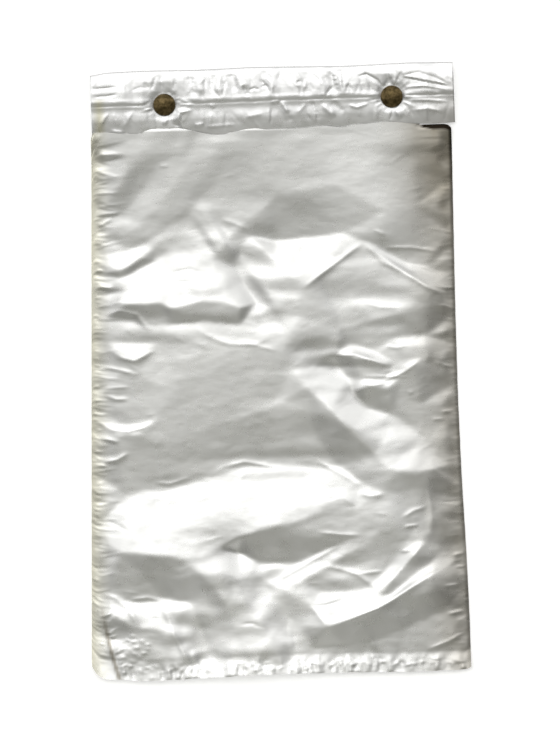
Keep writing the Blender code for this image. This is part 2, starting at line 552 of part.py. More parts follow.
def stud_cap(name):
    """Domed cap with a rolled rim and a post round the socket that grips the pin."""
    radius = CAP_DIAMETER / 2
    socket = PIN_DIAMETER / 2 + CLEARANCE
    post = socket + POST_WALL
    seat = CAP_SEAT_Z
    socket_top = seat + PIN_GRIP + CLEARANCE
    profile = []
    for i in range(CAP_ARC_STEPS + 1):
        angle = math.pi / 2 * (1 - i / CAP_ARC_STEPS)
        profile.append((radius * math.cos(angle), seat + CAP_RIM + (CAP_HEIGHT - CAP_RIM) * math.sin(angle)))
    profile[0] = (0.0, profile[0][1])
    profile += [(radius - CHAMFER / 3, seat + CHAMFER), (radius - CHAMFER, seat), (radius - CAP_RIM, seat),
                (radius - CAP_RIM - CHAMFER, seat + CAP_RIM), (post + CHAMFER, seat + CAP_RIM), (post, seat),
                (socket, seat), (socket, socket_top), (0.0, socket_top)]
    return turned(name, profile)


def stud_back(name):
    """Flat back disc with the pin that goes up through the film into the cap."""
    radius = BACK_DIAMETER / 2
    pin = PIN_DIAMETER / 2
    pin_top = CAP_SEAT_Z + PIN_GRIP
    profile = [(0.0, pin_top), (pin - CHAMFER, pin_top), (pin, pin_top - CHAMFER), (pin, BACK_THICKNESS),
               (radius - CHAMFER, BACK_THICKNESS), (radius, BACK_THICKNESS - CHAMFER), (radius, CHAMFER),
               (radius - CHAMFER, 0.0), (0.0, 0.0)]
    return turned(name, profile)


def hole_cutter(name, place):
    """Round punch through every layer of film at a stud."""
    bm = bmesh.new()
    radius = PIN_DIAMETER / 2 + CLEARANCE
    depth = CAP_SEAT_Z + PUFF + 2 * CRUMPLE
    bmesh.ops.create_cone(bm, cap_ends=True, segments=HOLE_SIDES, radius1=radius, radius2=radius,
                          depth=2 * depth)
    cutter = new_object(name, bm)
    cutter.location = (place.x, place.y, depth / 2)
    return cutter


def material(name, colour, roughness, metallic, alpha=1.0):
    finish = bpy.data.materials.new(name)
    finish.use_nodes = True
    shader = finish.node_tree.nodes["Principled BSDF"]
    shader.inputs["Base Color"].default_value = (*colour, 1.0)
    shader.inputs["Roughness"].default_value = roughness
    shader.inputs["Metallic"].default_value = metallic
    shader.inputs["Alpha"].default_value = alpha
    return finish


def cut(body, *cutters):
    for cutter in cutters:
        step = body.modifiers.new(cutter.name, "BOOLEAN")
        step.operation = "DIFFERENCE"
        step.solver = "EXACT"
        step.object = cutter


def build():
    for old in list(bpy.data.objects):
        bpy.data.objects.remove(old, do_unlink=True)
    parts = bpy.data.collections.new(MODEL)
    cutters = bpy.data.collections.new("cutters")
    bpy.context.scene.collection.children.link(parts)
    bpy.context.scene.collection.children.link(cutters)

    clear_film = material("clear_film", (0.46, 0.46, 0.44), 0.22, 0.2, 0.75)
    header_film = material("header_film", (0.72, 0.72, 0.71), 0.25, 0.1, 0.85)
    bronze = material("antique_bronze", (0.042, 0.030, 0.010), 0.38, 0.85)

    points, lines = bag_points()
    xs = [points[i][0] for i in lines[0]]
    header, header_lines, grid = header_points()
    header_xs = [p[0] for p in header]
    low_y = min(points[i][1] for i in lines[0])
    high_y = max(p[1] for p in header)
    middle = Vector(((min(xs + header_xs) + max(xs + header_xs)) / 2, (low_y + high_y) / 2))
    origin = bpy.data.objects.new("bag_middle", None)
    origin.location = (-middle.x, -middle.y, 0.0)
    parts.objects.link(origin)

    bag = film_object("bag", points, lines)
    strip = film_object("header_strip", header, header_lines)
    cavity = film_object("bag_cavity", *bag_cavity_points(points, lines))
    saddle = film_object("header_cavity", *header_cavity_points(header, header_lines, grid))
    holes = [hole_cutter(f"{side}_hole", place) for side, place in stud_places().items()]
    cut(bag, cavity, *holes)
    cut(strip, saddle, *holes)

    bodies = [(bag, clear_film), (strip, header_film)]
    for side, place in stud_places().items():
        for piece in (stud_cap(f"{side}_stud_cap"), stud_back(f"{side}_stud_back")):
            piece.location = (place.x, place.y, 0.0)
            bodies.append((piece, bronze))
    for body, finish in bodies:
        parts.objects.link(body)
        body.data.materials.append(finish)
        body.parent = origin
    for cutter in [cavity, saddle, *holes]:
        cutters.objects.link(cutter)
        cutter.parent = origin
        cutter.hide_render = True
        cutter.display_type = "WIRE"


build()
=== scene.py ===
"""Looks of a flat film bag under a folded film header with two domed press studs."""

import math
import random

import bmesh
import bpy
import numpy as np
from bpy.props import FloatProperty, FloatVectorProperty, IntProperty, PointerProperty
from bpy.types import Operator, Panel, PropertyGroup
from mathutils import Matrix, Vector
from mathutils.bvhtree import BVHTree


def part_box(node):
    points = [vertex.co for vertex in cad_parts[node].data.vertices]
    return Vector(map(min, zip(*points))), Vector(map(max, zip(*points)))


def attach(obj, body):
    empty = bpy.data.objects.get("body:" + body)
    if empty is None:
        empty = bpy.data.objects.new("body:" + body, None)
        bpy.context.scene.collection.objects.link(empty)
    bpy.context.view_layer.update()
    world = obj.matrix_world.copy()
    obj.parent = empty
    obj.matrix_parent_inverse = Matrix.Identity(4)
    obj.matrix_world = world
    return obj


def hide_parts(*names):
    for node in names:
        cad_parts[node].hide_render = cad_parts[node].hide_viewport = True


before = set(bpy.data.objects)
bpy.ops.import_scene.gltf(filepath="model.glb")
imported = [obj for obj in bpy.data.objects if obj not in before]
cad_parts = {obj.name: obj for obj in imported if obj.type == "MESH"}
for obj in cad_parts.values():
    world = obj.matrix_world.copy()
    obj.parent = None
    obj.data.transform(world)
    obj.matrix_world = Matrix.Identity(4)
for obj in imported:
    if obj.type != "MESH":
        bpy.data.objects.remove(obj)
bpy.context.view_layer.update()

bl_info = {
    "name": "Film header bag",
    "version": (1, 0, 0),
    "blender": (4, 5, 0),
    "location": "View3D > Sidebar > Film bag",
    "description": "Crumpled film bag, its folded header, its press studs and the studio round them",
    "category": "Object",
}

PERCENT = 0.01
MM = 0.001

# How far the bag's straight corners lie from the corners of its header and hem boxes
HEADER_BULGE = 0.0021
HEADER_END_GAP = (0.0006, 0.0016)
HEM_CORNER_GAP = 0.0012

# The header's front film: how far over the caps' seats its puff starts, how far above the studs' middles its
# cross crease runs, the widths of the wide valley and the narrow crease there, and the lowest that it may lie
PUFF_BASE_RISE = 0.0002
CREASE_RISE = 0.0004
VALLEY_WIDTH = 0.0026
CREASE_WIDTH = 0.0007
LOWEST_FRONT = 0.0030

# Where the header's crumples start beside its fold and round a stud, and where its hem starts to sink, as
# (place, run) each; past the fold's end the film is held above its lowest level
FOLD_ZONE = (0.05, 0.08)
FOLD_END = 0.13
STUD_ZONE = (0.0078, 0.0015)
HEADER_HEM = (0.75, 0.25)

# The header's marks: the darker colour at its right end, and where it and the yellowed seam lie, as shares
# across and down
HEADER_RIM = (0.42, 0.40, 0.37)
HEADER_RIGHT_DARK_TONE = (0.80, 0.2)
HEADER_SEAM = 0.022
HEADER_SEAM_WIDTH = 0.02
HEADER_SEAM_DOWN = (0.45, 0.1)

# The lowest that the bag's front panel may lie beyond the skirt
LOWEST_PANEL = 0.00045

# Ends of the bag's outline that are rounded, where its sides are carried on straight, and how far inside its
# corners the shoulders and the neck are read
HEM_CORNER_ZONE = 0.0175
SHOULDER_ZONE = 0.0085
LEFT_SHOULDER_IN = 0.022
RIGHT_SHOULDER_IN = 0.012
NECK_DOWN = 0.004

# How many places along a side are read, and how many before and after each one are evened out with it
SIDE_STEPS = 240
EVENING = 8

# How far inside an outline its level is read, in the bag and in the header
HAIR = 0.0003
HEADER_HAIR = 0.0002

# Faces of the front panel, both ways, for each face of the back panel
BACK_STEP = 3

# Share of the panel's length, hidden under the skirt, over which its crumples grow from nothing. It becomes
# longer towards the right, from the place and over the run of RIGHT_FADE.
SKIRT_FADE = 0.006
RIGHT_SKIRT_FADE = 0.026
RIGHT_FADE = (0.70, 0.1)

# The width of the panel's rim that stays free of the crinkles, as a share
CALM_RIM = 0.03

# Where the film climbs to the hem and where the hem's edge curls up, as (place, run) down the panel. The
# climb also has its middle and half width across it.
HEM_CLIMB = (0.84, 0.16)
HEM_CLIMB_PLACE = (0.42, 0.24)
HEM_CURL = (0.965, 0.035)

# The weld that slants across the lower left corner, as places in percent across and down
SLANTING_WELD = ((2.6, 86.0), (3.8, 90.5), (5.4, 95.0), (7.6, 99.6))
SLANTING_WELD_WIDTH = 0.0011

# The panel's stains, darker and paler tones and painted shadows: where each starts and over what run it
# grows, as shares across or down. The paler tone at the hem also has its middle and half width across, and
# the painted shadow at the corner its depth.
SEAM_STAIN_WIDTH = 0.055
RIGHT_DARK_TONE = (0.82, 0.18)
WELD_STAIN = (0.86, 0.06)
PANEL_PALING = (0.12, 0.35)
HEM_PALING = (0.79, 0.09)
HEM_PALING_PLACE = (0.40, 0.26)
# Painted shadow: black under the skirt at the right shoulder, deeper towards the right, and a dark line
# painted along the right edge
CORNER_SHADOW = (0.910, 0.012)
CORNER_DEEPER = (0.915, 0.035)
SHADOW_DEPTH = 0.0045
EDGE_SHADOW_LINE = (0.988, 0.008)

# Thickness of the welded edges, and the shares of the panel over which the back film climbs to them
WELD_GAUGE = 0.0004
HEM_LIFT_ZONE = 0.05
SIDE_LIFT_ZONE = 0.045

# How far the right shoulder's film stands above the frame's, so that its painted shadow edge meets the skirt
SHOULDER_RISE = 0.0014

# The cap's turned section: its rolled rim and that rim's rounding, the post inside and the post's socket, the
# steps from crown to rim, and the flats round the one on top
CAP_RIM = 0.0009
RIM_ROUNDING = 0.0003
POST_RADIUS = 0.0028
SOCKET_RADIUS = 0.0018
SOCKET_DEPTH = 0.0024
DOME_STEPS = 14
DOME_FLATS = 8

# The shine of the film, open and in the painted shadow lines at its right rim, and the colour of those
# painted shadow lines
FILM_ROUGHNESS = 0.29
METALLIC = (0.72, 1.0)
COAT = (0.25, 0.0)
SHADOW_LINE_COLOUR = (0.012, 0.009, 0.006)

# The part of a noise's range in which most of it lies
NOISE_RANGE = (0.3, 0.7)

# The softbox as the bag sees it, in degrees from straight up, across and towards the header
LAMP_ACROSS = (-25, 34)
LAMP_BEYOND = (11, 40)
LAMP_DISTANCE = 5.0

# The floor: half its side, how far it lies under the bag, its colour, and what makes it read as white
FLOOR_SIZE = 3.0
FLOOR_DROP = 0.0004
FLOOR_COLOUR = (0.80, 0.80, 0.79, 1.0)
FLOOR_GLOW = 0.42

# Where the camera stands over the bag, and how far it is turned, in degrees
CAMERA_PLACE = (0.00473, -0.00048)
CAMERA_TURN = -2.1
SENSOR_HEIGHT = 24.0

# How bright the room is along a line over the bag, from low behind the hem (-1) to low beyond the header (1):
# (place, brightness, how much of the blue is missing)
ROOM_TONES = ((-1.0, 0.42, 0.02), (-0.62, 0.20, 0.08), (-0.28, 0.08, 0.22), (0.0, 0.36, 0.03),
              (0.26, 0.95, 0.0), (0.50, 1.0, 0.0), (0.75, 0.5, 0.0), (1.0, 0.43, 0.0))
ROOM_TURN = math.radians(-10)

# How much of that is left across the room, from low on the left (-1) to low on the right (1): (place, share)
SIDE_TONES = ((-1.0, 0.85), (-0.60, 0.48), (-0.30, 0.55), (-0.08, 1.0), (0.04, 1.0), (0.26, 0.40),
              (0.60, 0.42), (1.0, 0.85))

# Creases that show one by one: (points across and down the bag in percent), width in mm, height in mm.
# A positive height is a ridge and a negative one a valley.
CREASES = {
    "speck": (((19, 15.3), (21.5, 15.3)), 1.3, 0.16),
    "seam_glint_1": (((1.5, 18.2), (5.2, 17.4)), 1.6, 0.22),
    "seam_glint_2": (((1.5, 23.0), (8.2, 22.8)), 2.2, 0.42),
    "seam_glint_3": (((1.5, 25.2), (6.2, 23.6)), 1.8, 0.30),
    "seam_glint_4": (((1.5, 11.6), (4.0, 11.4)), 1.4, 0.14),
    "seam_glint_5": (((1.5, 10.2), (3.6, 10.0)), 1.3, 0.12),
    "seam_glint_6": (((2.0, 34.6), (6.2, 35.2)), 2.6, 0.60),
    "seam_glint_7": (((1.6, 32.0), (3.6, 32.2)), 2.0, 0.40),
    "apron_line_1": (((20, 34.6), (29.5, 34.4)), 1.6, -0.16),
    "apron_line_2": (((21.5, 33.0), (27, 32.4), (32, 33.4)), 1.6, -0.16),
    "apron_line_3": (((14, 33.6), (15.4, 36.6)), 2.0, -0.12),
    "shelf_edge": (((35.5, 24.4), (39.5, 25.2), (43.5, 26.5)), 3.2, 0.22),
    "left_bow": (((4.0, 39.4), (8, 38.9), (12.5, 39.6), (16.5, 42.6)), 3.2, 0.45),
    "left_spot": (((6.0, 37.6), (9.0, 37.2)), 2.6, 0.30),
    "left_wing": (((5.0, 45.0), (8.5, 46.6), (12.0, 47.2), (18.0, 45.4)), 3.0, 0.42),
    "left_thread_1": (((3.5, 47.9), (8, 48.6), (12.5, 49.4)), 2.0, 0.36),
    "left_thread_2": (((3.0, 51.6), (11, 51.4)), 2.0, 0.24),
    "left_thread_3": (((4.0, 52.6), (7, 53.4), (10.5, 53.4)), 2.2, 0.40),
    "left_crescent": (((2.5, 57.4), (6, 58.3), (10, 58.7), (14, 58.2), (17, 57.2)), 3.0, 0.55),
    "left_thread_4": (((3.0, 59.6), (8.0, 60.6)), 1.8, 0.34),
    "left_thread_5": (((3.4, 63.6), (7, 63.4), (10.4, 62.2)), 2.4, 0.45),
    "left_thread_6": (((2.0, 64.1), (4.2, 64.2)), 1.5, 0.24),
    "crest_bow": (((27.5, 41.6), (32, 43.6), (37.5, 45.0), (44, 45.2), (49, 44.0)), 4.2, 0.34),
    "crest_tail": (((40.5, 44.6), (45, 45.4), (50.5, 46.5)), 2.6, 0.22),
    "tent_left": (((57, 36.5), (65, 32.8), (74, 29.0)), 3.0, 0.50),
    "tent_right": (((74, 29.0), (82, 33), (91.5, 37.0), (97.5, 38.4)), 2.8, 0.50),
    "tent_fork": (((74, 29.2), (79, 32.4), (84, 34.2)), 1.8, 0.20),
    "right_streak_1": (((76.5, 27.0), (80, 28.0)), 1.8, 0.22),
    "right_streak_2": (((79.5, 30.0), (87, 30.2), (94, 31.0)), 1.8, 0.26),
    "right_streak_3": (((84, 33), (90, 33.6), (94, 34.6)), 1.8, 0.20),
    "right_streak_4": (((73.5, 39.0), (78, 39.8), (84, 40.0)), 2.2, 0.16),
    "right_knot_1": (((91.5, 36.2), (94, 36.8), (98, 37.2)), 1.6, 0.30),
    "right_knot_2": (((93.5, 39.8), (97.8, 40.4)), 1.6, 0.30),
    "wing_thread": (((79, 46.2), (82, 46.6), (85.5, 46.2)), 1.8, 0.20),
    "wing_ridge": (((66, 47.6), (71, 47.4), (78, 49.2), (81, 49.6)), 2.6, 0.40),
    "hook_ridge": (((78, 52.0), (84, 50.6), (89, 48.4)), 2.4, 0.42),
    "hook_thread_1": (((72, 51.0), (78, 51.2), (85.5, 51.4)), 1.6, 0.16),
    "hook_thread_2": (((72.5, 52.3), (75.5, 52.6), (79, 52.4)), 2.2, 0.40),
    "right_knot_3": (((92, 49.0), (95, 49.8), (97.8, 50.0)), 1.8, 0.26),
    "pock": (((85.0, 54.0), (86.2, 54.0)), 1.8, 0.24),
    "right_thread_1": (((91, 58.5), (94.5, 58.6)), 1.5, 0.20),
    "right_thread_2": (((93.5, 57.4), (97.5, 57.2)), 1.5, 0.22),
    "lap_thread_1": (((35, 65.2), (41, 64.4), (50.5, 65.6)), 2.4, 0.32),
    "lap_thread_2": (((16.5, 67.2), (21, 67.6), (27, 66.6)), 2.2, 0.24),
    "lap_nick_1": (((4, 73.2), (7, 74), (10, 75.2)), 1.5, -0.20),
    "knee_1": (((60, 64.6), (67, 67.0), (72, 69.2)), 2.8, 0.36),
    "knee_2": (((71.5, 70.2), (74, 70.8), (78, 70.6)), 3.4, 0.40),
    "knee_crack": (((58, 70.6), (64, 71.0), (66.5, 70.2)), 1.4, -0.24),
    "knee_branch": (((66.5, 70.4), (70, 72.4)), 1.6, 0.24),
    "knee_3": (((60, 76.4), (66, 77.0), (72.5, 77.2)), 2.4, 0.34),
    "right_dash_1": (((83, 76.1), (87, 75.8)), 1.7, 0.34),
    "right_dash_2": (((82.5, 74.6), (86, 73.4), (89.5, 72.8)), 2.2, 0.30),
    "right_dash_3": (((82, 80.2), (85, 79.8)), 1.5, 0.28),
    "upright_right": (((89.5, 67.5), (90.4, 73), (90.2, 78.5)), 3.0, 0.34),
    "arc_crack": (((39, 91.2), (42.5, 91.0), (46, 92.0)), 1.4, -0.22),
    "rib_ridge": (((66.5, 78.6), (58, 81.2), (49, 84.2)), 3.2, 0.46),
    "rib_lower": (((61.5, 82.0), (66, 82.6), (70.5, 83.6), (76.5, 86.5)), 3.0, 0.46),
    "rib_thread": (((70, 83.6), (77.5, 83.2)), 1.8, 0.24),
    "ray_1": (((88.5, 78.6), (82, 83.0), (76.5, 86.6)), 3.2, 0.50),
    "ray_2": (((96, 82.0), (89, 84.4), (75.5, 89.4), (62.5, 92.2)), 3.0, 0.50),
    "ray_end": (((62.5, 92.2), (58, 88.5)), 2.4, 0.30),
    "hem_thread": (((88.5, 96.4), (94, 95.2), (99, 93.5)), 2.2, 0.40),
    "hem_scratch_1": (((68, 94.2), (72.5, 91.4)), 1.6, 0.16),
    "hem_scratch_2": (((73, 93.4), (75, 96.4)), 1.8, 0.20),
    "ray_crack": (((58.5, 88.6), (62, 88.5), (66.5, 87.8)), 1.3, -0.24),
    "hem_upright": (((52.5, 90.5), (52.7, 96.5)), 2.4, 0.22),
    "cuff_band": (((3.0, 85.2), (6.5, 86), (10, 87.8), (13, 91.2)), 3.4, 0.55),
    "cuff_top": (((10, 86.4), (15, 86.2), (19.5, 86.8)), 2.4, 0.34),
    "cuff_ray": (((18.5, 87.2), (21, 90.4), (23, 93.6), (26.5, 98.0)), 3.6, 0.60),
    "cuff_spot": (((16, 89.6), (18, 89.8)), 1.6, -0.24),
    "hem_ray": (((26.5, 95.0), (29, 99.4)), 2.8, 0.50),
    "weld_diagonal": (((2.2, 87.0), (4, 91), (5.8, 95.4), (7.6, 99.2)), 2.2, 0.40),
    "right_glint_1": (((96, 81.0), (98.8, 80.8)), 1.4, 0.30),
    "right_glint_2": (((96.2, 82.9), (99, 83.0)), 1.4, 0.30),
    "right_glint_3": (((93.4, 86.1), (97.2, 85.9)), 1.7, 0.40),
    "right_glint_4": (((94, 90.7), (99, 90.2)), 1.6, 0.30),
}

# Creases and pleats of the header, each as its path in percent with its width and height in mm
HEADER_CREASES = (
    (((1.0, 2.2), (4.0, 2.2), (7.5, 2.0)), 1.2, -0.30),
    (((1.0, 3.5), (5.0, 3.5), (8.0, 3.2)), 1.2, -0.28),
    (((11.5, 2.8), (14, 2.2), (17, 2.4)), 1.3, -0.16),
    (((18.5, 0.2), (17.0, 2.8)), 1.1, -0.26),
    (((19.6, 0.3), (20.1, 2.8)), 1.0, -0.20),
    (((31.5, 1.0), (31.8, 4.2)), 1.0, -0.22),
    (((33.1, 0.4), (33.4, 2.6)), 1.0, -0.16),
    (((37.2, 1.5), (36.4, 4.2)), 1.1, -0.28),
    (((42.0, 2.4), (43.4, 4.4)), 1.3, -0.55),
    (((43.6, 3.4), (45.0, 3.0), (46.6, 3.4)), 1.1, -0.35),
    (((46.4, 1.6), (47.6, 2.2), (49.6, 4.0)), 1.1, -0.45),
    (((47.4, 0.2), (50.2, 1.8)), 1.1, -0.24),
    (((46.8, 3.0), (48.2, 2.6), (49.4, 3.2)), 0.9, -0.30),
    (((57.4, 2.0), (56.8, 2.6)), 0.9, -0.40),
    (((57.4, 3.0), (57.8, 4.7)), 0.9, -0.20),
    (((58.8, 3.2), (59.0, 4.7)), 0.9, -0.20),
    (((62.4, 3.4), (62.8, 4.7)), 0.9, -0.20),
    (((66.2, 3.2), (64.4, 4.8)), 1.2, -0.34),
    (((70.0, 4.4), (70.6, 3.0), (71.6, 4.0)), 1.0, -0.34),
    (((73.2, 1.8), (75.6, 1.4), (78.4, 2.4), (80.6, 4.0)), 1.4, -0.48),
    (((74.6, 3.0), (74.8, 4.4)), 0.9, -0.20),
    (((76.4, 2.6), (76.9, 4.4)), 0.9, -0.22),
    (((81.0, 0.6), (81.8, 2.8)), 1.0, -0.22),
    (((85.4, 1.0), (84.0, 2.8)), 1.1, -0.30),
    (((86.0, 3.8), (91, 3.6), (98.4, 4.4)), 1.3, 0.40),
    (((86.0, 5.9), (92, 6.0), (98.4, 6.4)), 1.6, 0.34),
    (((9.4, 9.0), (12.0, 6.0)), 2.0, 0.30),
    (((3.0, 8.4), (5.6, 6.0)), 1.6, 0.22),
    (((6.0, 9.2), (9.6, 9.6)), 1.6, 0.42),
    (((20.4, 8.6), (21.4, 7.4)), 2.0, 0.30),
    (((23.4, 8.6), (24.6, 6.6), (28.6, 6.2)), 3.0, 0.60),
    (((24.4, 5.4), (28.6, 5.2)), 1.4, 0.30),
    (((28.6, 8.8), (31.4, 8.6)), 2.2, 0.45),
    (((31.6, 9.1), (40.2, 8.9)), 1.6, 0.26),
    (((33.0, 5.4), (34.2, 6.0)), 1.4, 0.24),
    (((42.4, 7.8), (47.6, 7.2)), 3.0, 0.30),
    (((49.4, 5.4), (52.2, 5.2)), 1.6, 0.40),
    (((52.4, 5.4), (54.4, 7.4)), 2.0, 0.50),
    (((56.4, 7.6), (59.2, 5.8)), 2.4, 0.26),
    (((60.6, 5.4), (62.0, 7.8)), 1.1, -0.30),
    (((63.2, 6.0), (66.8, 8.2)), 3.4, 0.50),
    (((70.2, 6.2), (72.8, 6.8), (76.2, 6.2)), 1.6, 0.44),
    (((78.2, 5.8), (80.4, 7.0)), 1.4, -0.26),
    (((82.8, 7.0), (85.0, 8.8)), 2.6, 0.50),
    (((87.8, 7.6), (92, 7.4), (96.2, 8.0)), 1.8, 0.30),
)
HEADER_PLEATS = (
    (((27.8, 0.2), (28.8, 1.6), (29.9, 4.0)), 1.5, 0.80),
    (((35.2, 0.4), (34.2, 3.6)), 1.2, 0.36),
    (((39.6, 0.1), (40.0, 1.2), (41.2, 3.4)), 1.7, 0.90),
    (((60.4, 0.2), (60.6, 4.8)), 2.2, 0.62),
    (((66.1, 0.2), (67.4, 2.0), (68.5, 4.8)), 1.9, 1.00),
    (((84.8, 1.9), (89.6, 1.4), (94.4, 2.4), (98.6, 3.8)), 2.0, 0.80),
    (((66.2, 5.4), (69.8, 7.2)), 1.6, 0.40),
    (((50.4, 5.8), (55.2, 8.6)), 2.0, 0.40),
)

